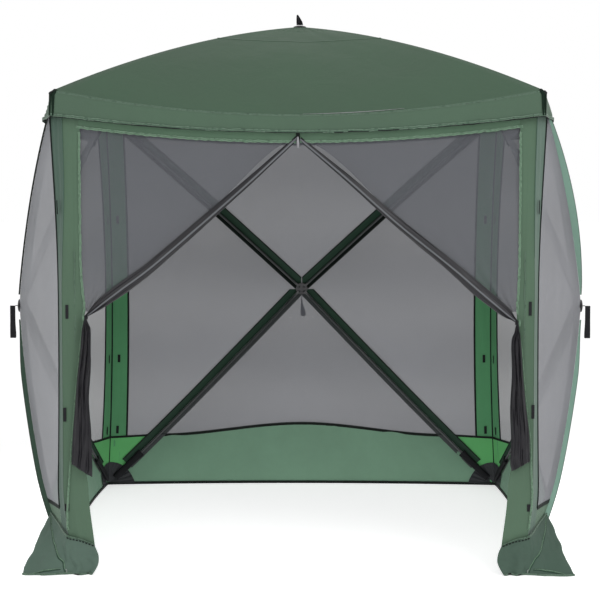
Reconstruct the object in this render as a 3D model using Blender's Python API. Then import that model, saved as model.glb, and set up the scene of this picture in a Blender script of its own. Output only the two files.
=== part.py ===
"""Four-sided pop-up screen shelter: a domed cloth roof, three mesh walls pushed out by hubs, and an open door.

Metres, +Z up. The door faces -Y. The ground is Z = 0, and X = 0 is the plane of symmetry.
"""

import math

import bmesh
import bpy
import numpy as np
from mathutils import Vector

# ---------------------------------------------------------------- driving dimensions
DEPTH = 1.830  # corner to corner, front to back
BACK_W = 1.830  # corner to corner along the back wall
FRONT_W_TOP = 1.736  # the open door lets the front corners draw in
FRONT_W_MID = 1.708
FRONT_W_FOOT = 1.650
CORNER_Z = 1.752  # top of the corners
PEAK_Z = 2.058  # cloth at the top of the roof
HUB_Z = 0.9125  # wall hubs
WALL_BULGE = 0.2940  # how far a wall hub stands out of its wall
EAVE_SAG = 0.087  # the eave hangs lower between the corners
EAVE_TUCK = 0.030  # and draws in
HEM_BULGE = 0.050  # the foot of a wall stands out between the corners
POLE_BOW = 0.025
CLOTH = 0.0024  # thickness of a cloth solid

POLE_R = 0.0055
POLE_INSET = 0.0165  # pole axis inside the outer face of the cloth
TIP_BACK = 0.060  # pole tip to the corner, the room it needs as the wall snaps through
HUB_R = 0.028
HUB_T = 0.016
HUB_DROP = 0.0250  # pins below the cloth at the hub
PIN_AT = 0.020
PIN_R = 0.0025
EYE_R = 0.0055
EYE_W = 0.0080
SLOT_W = 0.0090
CAP_R = 0.026
STRAP_W = 0.022  # width of a pull strap
STRAP_OUT = 0.027  # how far out of the cloth a pull strap hangs

POST_FACE = 0.078  # each face of a corner post
BAND_MID = 0.280  # lower cloth band
BAND_END = 0.225
VALANCE_MID = 0.067
VALANCE_END = 0.108
SEAM_Z = 0.125  # where the foot flaps are sewn on
FLAP_OUT = 0.170
HEADER_Z_MID = 1.562
HEADER_Z_END = 1.612
TIE_Z = 0.942
GATHER_Z = 0.375

MIDDLE_Y = 0.13281784  # middle of the whole from front to back, when the corners stand at Y = -DEPTH / 2 and DEPTH / 2
LOWEST_Z = 0.0006  # underside of the foot flaps before the whole is set down


def smooth(a, b, x):
    t = min(max((x - a) / (b - a), 0.0), 1.0)
    return t * t * (3 - 2 * t)


def unit(v):
    v = np.asarray(v, float)
    return v / np.linalg.norm(v)


# ---------------------------------------------------------------- clearing and materials
for old in list(bpy.data.objects):
    bpy.data.objects.remove(old)

MATERIALS = {}


def material(name, colour, roughness, metallic=0.0):
    if name not in MATERIALS:
        made = bpy.data.materials.new(name)
        made.use_nodes = True
        shader = made.node_tree.nodes["Principled BSDF"]
        shader.inputs["Base Color"].default_value = (*colour, 1.0)
        shader.inputs["Roughness"].default_value = roughness
        shader.inputs["Metallic"].default_value = metallic
        MATERIALS[name] = made
    return MATERIALS[name]


def green():
    return material("green_polyester", (0.085, 0.165, 0.100), 0.75)


def post_green():
    return material("light_green_polyester", (0.115, 0.215, 0.135), 0.75)


def net():
    return material("grey_netting", (0.16, 0.165, 0.175), 0.80)


def black_net():
    return material("black_netting", (0.018, 0.018, 0.021), 0.60)


def webbing():
    return material("black_webbing", (0.012, 0.012, 0.014), 0.70)


def plastic():
    return material("black_nylon", (0.016, 0.016, 0.018), 0.45)


def rod():
    return material("dark_fibreglass", (0.035, 0.036, 0.038), 0.35)


def steel():
    return material("plated_zip_metal", (0.60, 0.60, 0.58), 0.30, 1.0)


# ---------------------------------------------------------------- mesh helpers
def add_object(name, points, faces, mat, smooth_faces=False, origin=None):
    """A mesh object whose points are given in the world, with its own origin."""
    at = Vector(origin) if origin is not None else Vector((0, 0, 0))
    mesh = bpy.data.meshes.new(name)
    bm = bmesh.new()
    verts = [bm.verts.new(Vector(p) - at) for p in points]
    for face in faces:
        if len(set(face)) == len(face):
            bm.faces.new([verts[i] for i in face])
    bmesh.ops.recalc_face_normals(bm, faces=bm.faces[:])
    if bm.calc_volume(signed=True) < 0:
        bmesh.ops.reverse_faces(bm, faces=bm.faces[:])
    bm.to_mesh(mesh)
    bm.free()
    obj = bpy.data.objects.new(name, mesh)
    obj.location = at
    bpy.context.scene.collection.objects.link(obj)
    if mat is not None:
        mesh.materials.append(mat)
    if smooth_faces:
        mesh.shade_smooth()
        mesh.set_sharp_from_angle(angle=math.radians(40))
    return obj


def sheet_faces(rows, cols, closed=False, slant=None):
    """Faces of a closed sheet: the outer grid's points come first, then the inner grid's."""
    n = rows * cols
    faces = []
    span = cols if closed else cols - 1

    def at(r, c, side):
        return side * n + r * cols + c % cols

    for r in range(rows - 1):
        for c in range(span):
            for side in (0, 1):
                a, b = at(r, c, side), at(r, c + 1, side)
                d, e = at(r + 1, c, side), at(r + 1, c + 1, side)
                one_way = slant(r, c) if slant else True
                tris = [(a, b, e), (a, e, d)] if one_way else [(a, b, d), (b, e, d)]
                faces += [t[::-1] for t in tris] if side else tris
    for c in range(span):  # first and last row
        for r in (0, rows - 1):
            faces.append((at(r, c, 0), at(r, c, 1), at(r, c + 1, 1)))
            faces.append((at(r, c, 0), at(r, c + 1, 1), at(r, c + 1, 0)))
    if not closed:
        for r in range(rows - 1):
            for c in (0, cols - 1):
                faces.append((at(r, c, 0), at(r + 1, c, 0), at(r + 1, c, 1)))
                faces.append((at(r, c, 0), at(r + 1, c, 1), at(r, c, 1)))
    return faces


def sheet(name, outer, inner, mat, closed=False, slant=None):
    outer, inner = np.asarray(outer, float), np.asarray(inner, float)
    rows, cols = outer.shape[:2]
    points = np.concatenate([outer.reshape(-1, 3), inner.reshape(-1, 3)])
    return add_object(
        name, points, sheet_faces(rows, cols, closed, slant), mat, smooth_faces=True
    )


def sweep(path, radius, sides=8):
    """Points and faces of a round bar along a path, with flat ends."""
    path = [np.asarray(p, float) for p in path]
    tangent = [unit(path[min(i + 1, len(path) - 1)] - path[max(i - 1, 0)]) for i in range(len(path))]
    side = unit(np.cross(tangent[0], (0.3, 0.2, 0.93)))
    points, faces = [], []
    for p, t in zip(path, tangent):
        side = unit(side - t * np.dot(side, t))
        up = np.cross(t, side)
        for k in range(sides):
            a = 2 * math.pi * (k + 0.5) / sides
            points.append(p + radius * (math.cos(a) * side + math.sin(a) * up))
    for r in range(len(path) - 1):
        for k in range(sides):
            a, b = r * sides + k, r * sides + (k + 1) % sides
            faces.append((a, b, b + sides, a + sides))
    faces.append(tuple(range(sides))[::-1])
    faces.append(tuple(range((len(path) - 1) * sides, len(path) * sides)))
    return points, faces


def prism(outline, axis, low, high, centre, across, up):
    """An outline in the plane of across and up, extruded along axis from low to high."""
    centre, axis, across, up = (np.asarray(v, float) for v in (centre, axis, across, up))
    points = []
    for w in (low, high):
        for a, b in outline:
            points.append(centre + axis * w + across * a + up * b)
    n = len(outline)
    faces = [(k, (k + 1) % n, n + (k + 1) % n, n + k) for k in range(n)]
    faces += [tuple(range(n))[::-1], tuple(range(n, 2 * n))]
    return points, faces


def circle(radius, sides, phase=0.5):
    return [
        (radius * math.cos(2 * math.pi * (k + phase) / sides), radius * math.sin(2 * math.pi * (k + phase) / sides))
        for k in range(sides)
    ]


def cutter(name, points, faces):
    obj = add_object(name, points, faces, None)
    obj.hide_render = True
    obj.display_type = "WIRE"
    return obj


def boolean(obj, operation, tool):
    made = obj.modifiers.new(operation.lower() + "_" + tool.name, "BOOLEAN")
    made.operation = operation
    made.solver = "EXACT"
    made.object = tool
    return made


# ---------------------------------------------------------------- the shape of the cloth
def front_half(z):
    return (
        0.5 * FRONT_W_FOOT
        + 0.5 * (FRONT_W_MID - FRONT_W_FOOT) * smooth(0.0, 0.32, z)
        + 0.5 * (FRONT_W_TOP - FRONT_W_MID) * smooth(1.05, CORNER_Z, z)
    )


def back_half(z):
    w = z / CORNER_Z
    return 0.5 * BACK_W - 0.028 * 4 * w * (1 - w)


def corner(which, z):
    """The outer corner line of the cloth at height z. which is fl, fr, bl or br."""
    w = z / CORNER_Z
    x = front_half(z) if which[0] == "f" else back_half(z)
    y = -DEPTH / 2 + 0.012 * 4 * w * (1 - w) if which[0] == "f" else DEPTH / 2 - 0.018 * 4 * w * (1 - w)
    return np.array([-x if which[1] == "l" else x, y, z])


WALLS = {  # first corner, second corner, outward normal
    "left": ("fl", "bl", np.array([-1.0, 0, 0])),
    "right": ("fr", "br", np.array([1.0, 0, 0])),
    "back": ("bl", "br", np.array([0, 1.0, 0])),
}


def eave_z(c):
    return CORNER_Z - EAVE_SAG * (1 - c * c)


def wall_top(c):
    return eave_z(c) - 0.010


def ray(u, z):
    """(t, c, edge) of a point on a wall: t runs from 0 at the hub to 1 at the wall's edge, c along that edge."""
    ts = abs(u)
    if z >= HUB_Z:
        c = 0.0
        rise = max(z - HUB_Z, 1e-9)
        c = u / (rise / (CORNER_Z - HUB_Z))
        c = min(max(c, -1), 1)
        for _ in range(12):
            c = min(max(u * (wall_top(c) - HUB_Z) / rise, -1), 1)
        tv, edge = rise / (wall_top(c) - HUB_Z), "top"
    else:
        tv, edge = (HUB_Z - z) / HUB_Z, "hem"
        c = min(max(u / max(tv, 1e-9), -1), 1)
    if ts > tv:
        reach = ((wall_top(1) - HUB_Z) if z >= HUB_Z else HUB_Z) * ts
        c = (z - HUB_Z) / max(reach, 1e-9)
        return ts, c, "post"
    return tv, c, edge


def stand_out(u, z):
    t, c, edge = ray(u, z)
    flat = 1 - c * c
    rim = {"hem": HEM_BULGE, "top": -EAVE_TUCK - 0.006, "post": 0.0}[edge] * flat
    bow = POLE_BOW - 0.036 * flat
    return WALL_BULGE * (1 - t) + rim * t * t + 4 * t * (1 - t) * bow


def wall(which, u, z, inside=0.0):
    """A point on a wall, u from -1 to 1 between its corners. inside is its depth behind the outer face."""
    a, b, out = WALLS[which]
    base = corner(a, z) * (1 - u) / 2 + corner(b, z) * (1 + u) / 2
    return base + out * (stand_out(u, z) - inside)


def roof_z(t, c):
    return PEAK_Z - (PEAK_Z - CORNER_Z) * (0.4727 * t + 0.5273 * t * t) - EAVE_SAG * t * t * (1 - c * c)


SIDES = (("fl", "fr", (0, -1)), ("fr", "br", (1, 0)), ("br", "bl", (0, 1)), ("bl", "fl", (-1, 0)))


def eave(side, c, out=0.0):
    """A point on the eave. side is 0 front, 1 right, 2 back, 3 left, and c runs from -1 to 1 along it."""
    a, b, n = SIDES[side]
    p = corner(a, CORNER_Z) * (1 - c) / 2 + corner(b, CORNER_Z) * (1 + c) / 2
    k = -EAVE_TUCK * (1 - c * c) + out
    return np.array([p[0] + n[0] * k, p[1] + n[1] * k, eave_z(c)])


PEAK_XY = np.array([0.0, 0.0])


def roof(side, c, t, inside=0.0):
    e = eave(side, c)
    return np.array([e[0] * t, e[1] * t, roof_z(t, c) - inside])


# ---------------------------------------------------------------- roof
AROUND = [(s, c) for s in range(4) for c in (-1.0, -0.66, -0.33, 0.0, 0.33, 0.66)]
RINGS = (0.022, 0.20, 0.46, 0.74, 1.0)
canopy_outer = [[roof(s, c, t) for s, c in AROUND] for t in RINGS]
canopy_inner = [[roof(s, c, t, CLOTH) for s, c in AROUND] for t in RINGS]
sheet("canopy", canopy_outer, canopy_inner, green(), closed=True, slant=lambda r, c: c % 6 >= 3)


def valance_drop(c):
    return VALANCE_MID + (VALANCE_END - VALANCE_MID) * c * c


VALANCE_OUT = 0.0155  # the valance hangs outside the walls


def valance_ring(share, inside):
    ring = []
    for s, c in [(s, c) for s in range(4) for c in (-1.0, -0.955, -0.90, -0.82, -0.60, -0.30, 0.0, 0.30, 0.60, 0.82, 0.90, 0.955)]:
        a, b, n = SIDES[s]
        z = eave_z(c) - 0.0045 - share * (valance_drop(c) - 0.0045)
        if abs(c) == 1.0:  # a corner stands out both ways
            m = SIDES[(s - 1) % 4][2]
            out = VALANCE_OUT - inside + 0.008 * share
            p = corner(a, z) + out * np.array([n[0] + m[0], n[1] + m[1], 0])
        elif s == 0:
            p = eave(s, c, VALANCE_OUT - inside + 0.004 * share)
        else:
            which = ("front", "right", "back", "left")[s]
            n = WALLS[which][2]
            p = wall(which, c if s == 1 else -c, z) + n * (VALANCE_OUT - inside)
        p[2] = z
        ring.append(p)
    return ring


sheet(
    "valance",
    [valance_ring(w, 0.0) for w in (0.0, 0.5, 1.0)],
    [valance_ring(w, CLOTH) for w in (0.0, 0.5, 1.0)],
    green(),
    closed=True,
)


# ---------------------------------------------------------------- walls
STRIP_U = 1 - POST_FACE / (DEPTH / 2)
RIDGE_TOP = 1.0


def band_top(u):
    flat = smooth(0.0, 0.75, abs(u))
    return BAND_MID + (BAND_END - BAND_MID) * flat


def mesh_edge():
    """The netting's edge, in order round a wall, through the points where the pole lines cross it."""
    side = STRIP_U - 0.0015
    low_cross = 1 - BAND_END / HUB_Z
    lower = [u for u in (-side, -low_cross, -0.5, -0.25, 0.0, 0.25, 0.5, low_cross, side)]
    edge = [(u, band_top(u) + 0.0015) for u in lower]
    edge += [(side, z) for z in (0.45, 0.68, HUB_Z, 1.18, 1.45)]
    high_cross = wall_top(1) - HUB_Z
    edge += [(side, HUB_Z + side * high_cross)]
    edge += [(u, wall_top(u)) for u in (side, 0.60, 0.30, 0.0, -0.30, -0.60, -side)]
    edge += [(-side, HUB_Z + side * high_cross)]
    edge += [(-side, z) for z in (1.45, 1.18, HUB_Z, 0.68, 0.45)]
    return edge


EDGE = mesh_edge()
STEPS = (0.020, 0.20, 0.48, 0.75, 1.0)
for which in WALLS:
    outer, inner = [], []
    for t in STEPS:
        ring = [(u * t, HUB_Z + (z - HUB_Z) * t) for u, z in EDGE]
        outer.append([wall(which, u, z) for u, z in ring])
        inner.append([wall(which, u, z, CLOTH) for u, z in ring])
    sheet(which + "_netting_wall", outer, inner, net(), closed=True)

BAND_U = sorted({s * u for u in (STRIP_U - 0.0015, 0.8356, 1 - BAND_END / HUB_Z, 0.55, 0.28, 0.0) for s in (-1, 1)})
for which in WALLS:
    outer = [[wall(which, u, w * (band_top(u) - 0.0015) + 0.0008) for u in BAND_U] for w in (0, 1 / 3, 2 / 3, 1)]
    inner = [[wall(which, u, w * (band_top(u) - 0.0015) + 0.0008, CLOTH) for u in BAND_U] for w in (0, 1 / 3, 2 / 3, 1)]
    half = len(BAND_U) // 2
    sheet(which + "_lower_band", outer, inner, post_green(), slant=lambda r, c: c < half)


# ---------------------------------------------------------------- corner posts
POST_ZS = (0.085, 0.22, 0.34, 0.62, HUB_Z, 1.18, 1.45, HUB_Z + STRIP_U * (wall_top(1) - HUB_Z), HUB_Z + (0.5 + STRIP_U / 2) * (wall_top(1) - HUB_Z), 1.735)
for which, (wall_a, ua, wall_b, ub) in {
    "back_left": ("left", 1, "back", -1),
    "back_right": ("right", 1, "back", 1),
}.items():
    outer, inner = [], []
    for z in POST_ZS:
        row_o, row_i = [], []
        na, nb = WALLS[wall_a][2], WALLS[wall_b][2]
        for u in (STRIP_U, 0.5 + STRIP_U / 2):
            row_o.append(wall(wall_a, ua * u, z))
            row_i.append(wall(wall_a, ua * u, z, CLOTH))
        c = corner("bl" if which.endswith("left") else "br", z)
        row_o.append(c)
        row_i.append(c - CLOTH * (na + nb))
        for u in (0.5 + STRIP_U / 2, STRIP_U):
            row_o.append(wall(wall_b, ub * u, z))
            row_i.append(wall(wall_b, ub * u, z, CLOTH))
        outer.append(row_o)
        inner.append(row_i)
    sheet(which + "_post", outer, inner, post_green(), slant=lambda r, c: c < 2)


def front_face(z):
    """How far a front post's face reaches in from its corner, wider at its foot."""
    return 0.070 + 0.022 * (1 - smooth(0.30, 0.46, z)) - 0.004 * smooth(1.2, 1.7, z)


for which, s in (("left", -1), ("right", 1)):
    outer, inner = [], []
    for z in POST_ZS:
        c = corner("fl" if s < 0 else "fr", z)
        out = WALLS[which][2]
        rows = [wall(which, -STRIP_U, z), wall(which, -0.5 - STRIP_U / 2, z), c]
        rows_in = [wall(which, -STRIP_U, z, CLOTH), wall(which, -0.5 - STRIP_U / 2, z, CLOTH), c - CLOTH * (out + np.array([0, -1.0, 0]))]
        for w in (0.5, 1.0):
            p = c + np.array([-s * front_face(z) * w, 0, 0])
            tuck = 1 - (p[0] / (FRONT_W_TOP / 2)) ** 2
            p[1] += EAVE_TUCK * max(tuck, 0) * smooth(1.45, 1.70, z)
            rows.append(p)
            rows_in.append(p + np.array([0, CLOTH, 0]))
        outer.append(rows)
        inner.append(rows_in)
    sheet("front_" + which + "_post", outer, inner, post_green())


# ---------------------------------------------------------------- foot flaps
def flap(name, wall_name, end, front):
    """A skirt round the foot of a corner: a wing that runs out over the ground beside the wall, and a short one in front."""
    key = ("f" if front else "b") + wall_name[0]
    out = WALLS[wall_name][2]
    fwd = np.array([0, -1.0 if front else 1.0, 0])
    inward = -out
    lift = 0.0035

    def row(w):
        """w is 0 at the top edge and 1 on the ground."""
        z_side = 0.185 * (1 - w) + 0.0006
        top_side = wall(wall_name, end * 0.80, 0.185) + out * (lift + 0.001)
        tip = corner(key, 0) + out * FLAP_OUT + fwd * 0.040
        tip[2] = 0.0006
        a = top_side * (1 - w) + tip * w
        mid_top = wall(wall_name, end * 0.90, 0.160) + out * (lift + 0.001) + fwd * 0.0
        mid_foot = corner(key, 0) + out * FLAP_OUT * 0.52 + fwd * 0.046
        mid_foot[2] = 0.0006
        b = mid_top * (1 - w) + mid_foot * w
        c_top = corner(key, SEAM_Z + 0.012) + (out + fwd) * lift
        c_foot = corner(key, 0) + out * 0.006 + fwd * 0.030
        c_foot[2] = 0.0006
        c = c_top * (1 - w) + c_foot * w
        def skin(reach, z):
            """The outer face of the cloth above the flap, this far in from the corner."""
            if front:
                return corner(key, z) + inward * reach
            u = 1 - reach / (BACK_W / 2)
            return wall("back", u if key[1] == "r" else -u, z)

        d_top = skin(0.045, SEAM_Z - 0.002) + fwd * (lift + 0.002)
        d_foot = skin(0.045, 0.0) + fwd * 0.034
        d_foot[2] = 0.0006
        d = d_top * (1 - w) + d_foot * w
        e_top = skin(0.092, SEAM_Z - 0.022) + fwd * (lift + 0.003)
        e_foot = skin(0.080, 0.0) + fwd * 0.030
        e_foot[2] = 0.0006
        e = e_top * (1 - w) + e_foot * w
        belly = 0.020 * 4 * w * (1 - w)
        e = e + inward * belly
        return [a, b, c, d, e], z_side

    outer, inner = [], []
    for w in (0.0, 0.33, 0.66, 1.0):
        pts, _ = row(w)
        outer.append(pts)
    grid = np.array(outer)
    normals = np.zeros_like(grid)
    for r in range(grid.shape[0]):
        for c in range(grid.shape[1]):
            along = grid[r, min(c + 1, 4)] - grid[r, max(c - 1, 0)]
            down = grid[min(r + 1, 3), c] - grid[max(r - 1, 0), c]
            n = unit(np.cross(along, down))
            if np.dot(n, out * 0.5 + fwd) < 0:
                n = -n
            normals[r, c] = n
    flat = normals.copy()
    flat[..., 2] = 0
    flat /= np.linalg.norm(flat, axis=-1, keepdims=True)
    sheet(name, grid + flat * CLOTH, grid, green())


flap("front_left_foot_flap", "left", -1, True)
flap("front_right_foot_flap", "right", -1, True)
flap("back_left_foot_flap", "left", 1, False)
flap("back_right_foot_flap", "right", 1, False)


# ---------------------------------------------------------------- door: header, curtains, ties and zip
def header_low(c):
    return HEADER_Z_MID + (HEADER_Z_END - HEADER_Z_MID) * c * c


HEAD_HALF = 0.775
HEAD_X = [HEAD_HALF * w for w in (-1, -0.75, -0.5, -0.25, 0, 0.25, 0.5, 0.75, 1)]


def door_y(x):
    """The door's cloth plane just inside the eave."""
    c = x / (FRONT_W_TOP / 2)
    return -DEPTH / 2 + EAVE_TUCK * (1 - c * c)


head_outer, head_inner = [], []
for w in (0.0, 0.5, 1.0):
    row_o, row_i = [], []
    for x in HEAD_X:
        c = x / HEAD_HALF
        low, high = header_low(c), eave_z(x / (FRONT_W_TOP / 2)) - 0.012
        row_o.append((x, door_y(x) + 0.0035, low + (high - low) * w))
        row_i.append((x, door_y(x) + 0.0035 + CLOTH, low + (high - low) * w))
    head_outer.append(row_o)
    head_inner.append(row_i)
sheet("door_header", head_outer, head_inner, post_green())

CURTAIN_Y = -DEPTH / 2 + 0.016


def gather_edge(z, tie_x, edge_x):
    """The free edge of the gathered curtain, below its tie."""
    share = min(max((z - GATHER_Z) / (TIE_Z - GATHER_Z), 0.0), 1.0)
    x = tie_x - 0.004 - 0.012 * math.sin(math.pi * share) - 0.010 * (1 - smooth(GATHER_Z, TIE_Z, z))
    return min(x, edge_x - 0.030)


for name, s in (("left", -1), ("right", 1)):
    tie_x = 0.765 if s < 0 else 0.780
    zs = (GATHER_Z, 0.52, 0.70, 0.86, TIE_Z - 0.022, TIE_Z + 0.022, 1.02, 1.14, 1.28, 1.42, 1.500, 1.558)
    outer, inner = [], []
    for z in zs:
        edge_x = front_half(z) - front_face(z) - 0.003
        if z <= TIE_Z + 0.03:
            inner_x = gather_edge(z, tie_x, edge_x)
            xs = (edge_x, edge_x * 0.7 + inner_x * 0.3, edge_x * 0.3 + inner_x * 0.7, inner_x)
            thick = (0.006, 0.022, 0.022, 0.008)
        else:
            roll = tie_x * (1.560 - z) / (1.560 - TIE_Z)
            inner_x = max(roll, 0.018)
            inner_x = min(inner_x, edge_x - 0.035)
            near = min(inner_x + 0.022, edge_x - 0.010)
            xs = (edge_x, near * 0.5 + edge_x * 0.5, near, inner_x)
            thick = (0.003, 0.003, 0.016, 0.016)
        outer.append([(s * x, CURTAIN_Y - t * 0.5 + (0.011 if z < TIE_Z + 0.03 else 0.0), z) for x, t in zip(xs, thick)])
        inner.append([(s * x, CURTAIN_Y + t * 0.5 + (0.011 if z < TIE_Z + 0.03 else 0.0), z) for x, t in zip(xs, thick)])
    # the door hangs behind the plane of the posts, and follows the header's curve at its top
    outer, inner = np.array(outer), np.array(inner)
    for grid in (outer, inner):
        for r, z in enumerate(zs):
            lean = smooth(1.05, 1.54, z)
            for c in range(4):
                if r >= len(zs) - 2:  # the top edge meets the header
                    top_z = header_low(grid[r, c, 0] / HEAD_HALF) - 0.002
                    grid[r, c, 2] = top_z if r == len(zs) - 1 else 1.42 + (top_z - 1.42) * 0.58
                grid[r, c, 1] += lean * (door_y(grid[r, c, 0]) + 0.0155 - CURTAIN_Y)
    sheet(name + "_door_curtain", outer, inner, black_net())

    # the tie-back: a webbing loop round the gathered curtain
    edge_x = front_half(TIE_Z) - front_face(TIE_Z) - 0.003
    low_x, high_x = gather_edge(TIE_Z, tie_x, edge_x) - 0.0035, edge_x + 0.0005
    half = 0.009
    mid = (low_x + high_x) / 2
    reach = (high_x - low_x) / 2 + 0.004
    deep = 0.0165
    yc = CURTAIN_Y + 0.011
    ring = [(-reach, -deep * 0.5), (-reach * 0.6, -deep), (reach * 0.6, -deep), (reach, -deep * 0.5), (reach, deep * 0.5), (reach * 0.6, deep), (-reach * 0.6, deep), (-reach, deep * 0.5)]
    k_in = 1 - 0.0022 / deep
    pts_o = [[(s * (mid + a + math.copysign(0.0, a)), yc + b, TIE_Z + h) for a, b in ring] for h in (-half, half)]
    pts_i = [[(s * (mid + a * (1 - 0.0022 / reach)), yc + b * k_in, TIE_Z + h) for a, b in ring] for h in (-half, half)]
    sheet(name + "_tie_back", pts_o, pts_i, webbing(), closed=True)

ZIP_TOP = 1.580
ZIP_Y = door_y(0.0) - 0.0105
tab = [(-0.0022, 0.000), (0.0022, 0.000), (0.0042, -0.010), (0.0052, -0.030), (0.0040, -0.036), (-0.0040, -0.036), (-0.0052, -0.030), (-0.0042, -0.010)]
points, faces = prism(tab, (0, 1, 0), -0.0012, 0.0012, (0, ZIP_Y, ZIP_TOP), (1, 0, 0), (0, 0, 1))
add_object("door_zip_pull", points, faces, steel(), origin=(0, ZIP_Y, ZIP_TOP))


# ---------------------------------------------------------------- hubs, poles, caps and pull straps
def ridge(which, su, sz, k):
    """A point on the line of a pole. k runs from 0 at the hub to 1 at the corner."""
    if which == "roof":
        side = {(-1, -1): (0, -1.0), (1, -1): (1, -1.0), (1, 1): (2, -1.0), (-1, 1): (3, -1.0)}[(su, sz)]
        return roof(side[0], side[1], k, POLE_INSET + 0.0020)
    reach = (wall_top(1) - HUB_Z) if sz > 0 else -HUB_Z
    u, z = su * k, HUB_Z + reach * k
    return wall(which, u, z, POLE_INSET)


def crown(which):
    """The cloth at the hub, and the outward direction."""
    if which == "roof":
        return np.array([0, 0, PEAK_Z]), np.array([0, 0, 1.0])
    out = WALLS[which][2]
    a, b, _ = WALLS[which]
    base = (corner(a, HUB_Z) + corner(b, HUB_Z)) / 2
    return base + out * WALL_BULGE, out


POLE_NAMES = {
    "left": {(-1, -1): "front_lower", (1, -1): "back_lower", (1, 1): "back_upper", (-1, 1): "front_upper"},
    "right": {(-1, -1): "front_lower", (1, -1): "back_lower", (1, 1): "back_upper", (-1, 1): "front_upper"},
    "back": {(-1, -1): "left_lower", (1, -1): "right_lower", (1, 1): "right_upper", (-1, 1): "left_upper"},
    "roof": {(-1, -1): "front_left", (1, -1): "front_right", (1, 1): "back_right", (-1, 1): "back_left"},
}
POLES = {}

for which in ("roof", "left", "right", "back"):
    top, out = crown(which)
    centre = top - out * HUB_DROP
    arms = {}
    for key, label in POLE_NAMES[which].items():
        k_tip = 1 - TIP_BACK / np.linalg.norm(ridge(which, *key, 1.0) - centre)
        tip = ridge(which, *key, k_tip)
        flat = tip - centre
        flat = unit(flat - out * np.dot(flat, out))
        pin = centre + flat * PIN_AT
        arms[key] = (flat, pin, k_tip, label)

    # hub body: a disc with four radial slots, and a pin across each slot
    u_axis = unit(np.cross(out, (0.0, 1.0, 0.0) if abs(out[1]) < 0.5 else (1.0, 0, 0)))
    v_axis = np.cross(out, u_axis)
    points, faces = prism(circle(HUB_R, 24), out, -HUB_T / 2, HUB_T / 2, centre, u_axis, v_axis)
    hub = add_object(which + "_hub", points, faces, plastic(), origin=centre)
    for key, (flat, pin, k_tip, label) in arms.items():
        lateral = np.cross(out, flat)
        box = [(0.0120, -SLOT_W / 2), (0.040, -SLOT_W / 2), (0.040, SLOT_W / 2), (0.0120, SLOT_W / 2)]
        points, faces = prism(box, out, -0.02, 0.02, centre, flat, lateral)
        boolean(hub, "DIFFERENCE", cutter("slot_" + which + "_" + label, points, faces))
    for key, (flat, pin, k_tip, label) in arms.items():
        lateral = np.cross(out, flat)
        points, faces = prism(circle(PIN_R, 10), lateral, -0.0065, 0.0065, pin, flat, out)
        boolean(hub, "UNION", cutter("pin_" + which + "_" + label, points, faces))

    # cap: a shallow dome outside the cloth, on a boss that goes through it
    profile = [(0.0, 0.0050), (0.012, 0.0045), (0.021, 0.0025), (CAP_R, 0.0004), (CAP_R, -0.0020), (0.009, -0.0020), (0.0085, HUB_T / 2 - HUB_DROP + 0.0005), (0.0, HUB_T / 2 - HUB_DROP + 0.0005)]
    points, faces = [], []
    sides = 16
    points.append(top + out * profile[0][1])
    for r, h in profile[1:-1]:
        for k in range(sides):
            a = 2 * math.pi * k / sides
            points.append(top + out * h + r * (math.cos(a) * u_axis + math.sin(a) * v_axis))
    points.append(top + out * profile[-1][1])
    rings = len(profile) - 2
    for k in range(sides):
        n = (k + 1) % sides
        faces.append((0, 1 + k, 1 + n))
        for r in range(rings - 1):
            a, b = 1 + r * sides + k, 1 + r * sides + n
            faces.append((a, a + sides, b + sides, b))
        last = 1 + (rings - 1) * sides
        faces.append((last + k, last + sides, last + n))
    cap = add_object(which + "_hub_cap", points, faces, plastic(), smooth_faces=True, origin=top)
    # the hole that the pull cord is knotted in
    points, faces = prism(circle(0.0030, 10), out, -0.02, 0.02, top, u_axis, v_axis)
    if which == "roof":
        boolean(cap, "DIFFERENCE", cutter("cord_hole_" + which, points, faces))
    else:  # the knotted cord that carries the pull strap comes out through the hole
        points, faces = sweep([top + out * 0.001, top + out * 0.008, top + out * (STRAP_OUT - STRAP_W / 2 - 0.0004)], 0.0018, 8)
        boolean(cap, "UNION", cutter("cord_" + which, points, faces))

    # poles: a flat eye on the pin, and a bar that follows the inside of the cloth
    for key, (flat, pin, k_tip, label) in arms.items():
        lateral = np.cross(out, flat)
        reach = np.linalg.norm(ridge(which, *key, 1.0) - centre)
        k_first = 0.060 / reach
        first = ridge(which, *key, k_first)
        along = unit(first - pin)
        up = unit(np.cross(lateral, along))
        if np.dot(up, out) < 0:
            up = -up
        outline = [(EYE_R * math.cos(a), EYE_R * math.sin(a)) for a in [math.radians(x) for x in (90, 120, 150, 180, 210, 240, 270)]]
        outline += [(0.020, -EYE_R * 0.86), (0.020, EYE_R * 0.86)]
        points, faces = prism(outline, lateral, -EYE_W / 2, EYE_W / 2, pin, along, up)
        name = which + "_pole_" + label
        pole = add_object(name, points, faces, rod(), origin=pin)
        path = [pin + along * 0.0108, pin + along * 0.024]
        for j in range(7):
            path.append(ridge(which, *key, k_first + (k_tip - k_first) * j / 6))
        points, faces = sweep(path, POLE_R)
        boolean(pole, "UNION", cutter("bar_" + name, points, faces))
        points, faces = prism(circle(PIN_R + 0.0005, 12), lateral, -0.02, 0.02, pin, along, up)
        boolean(pole, "DIFFERENCE", cutter("eye_" + name, points, faces))
        POLES[(which, key)] = (pin, k_tip)


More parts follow.
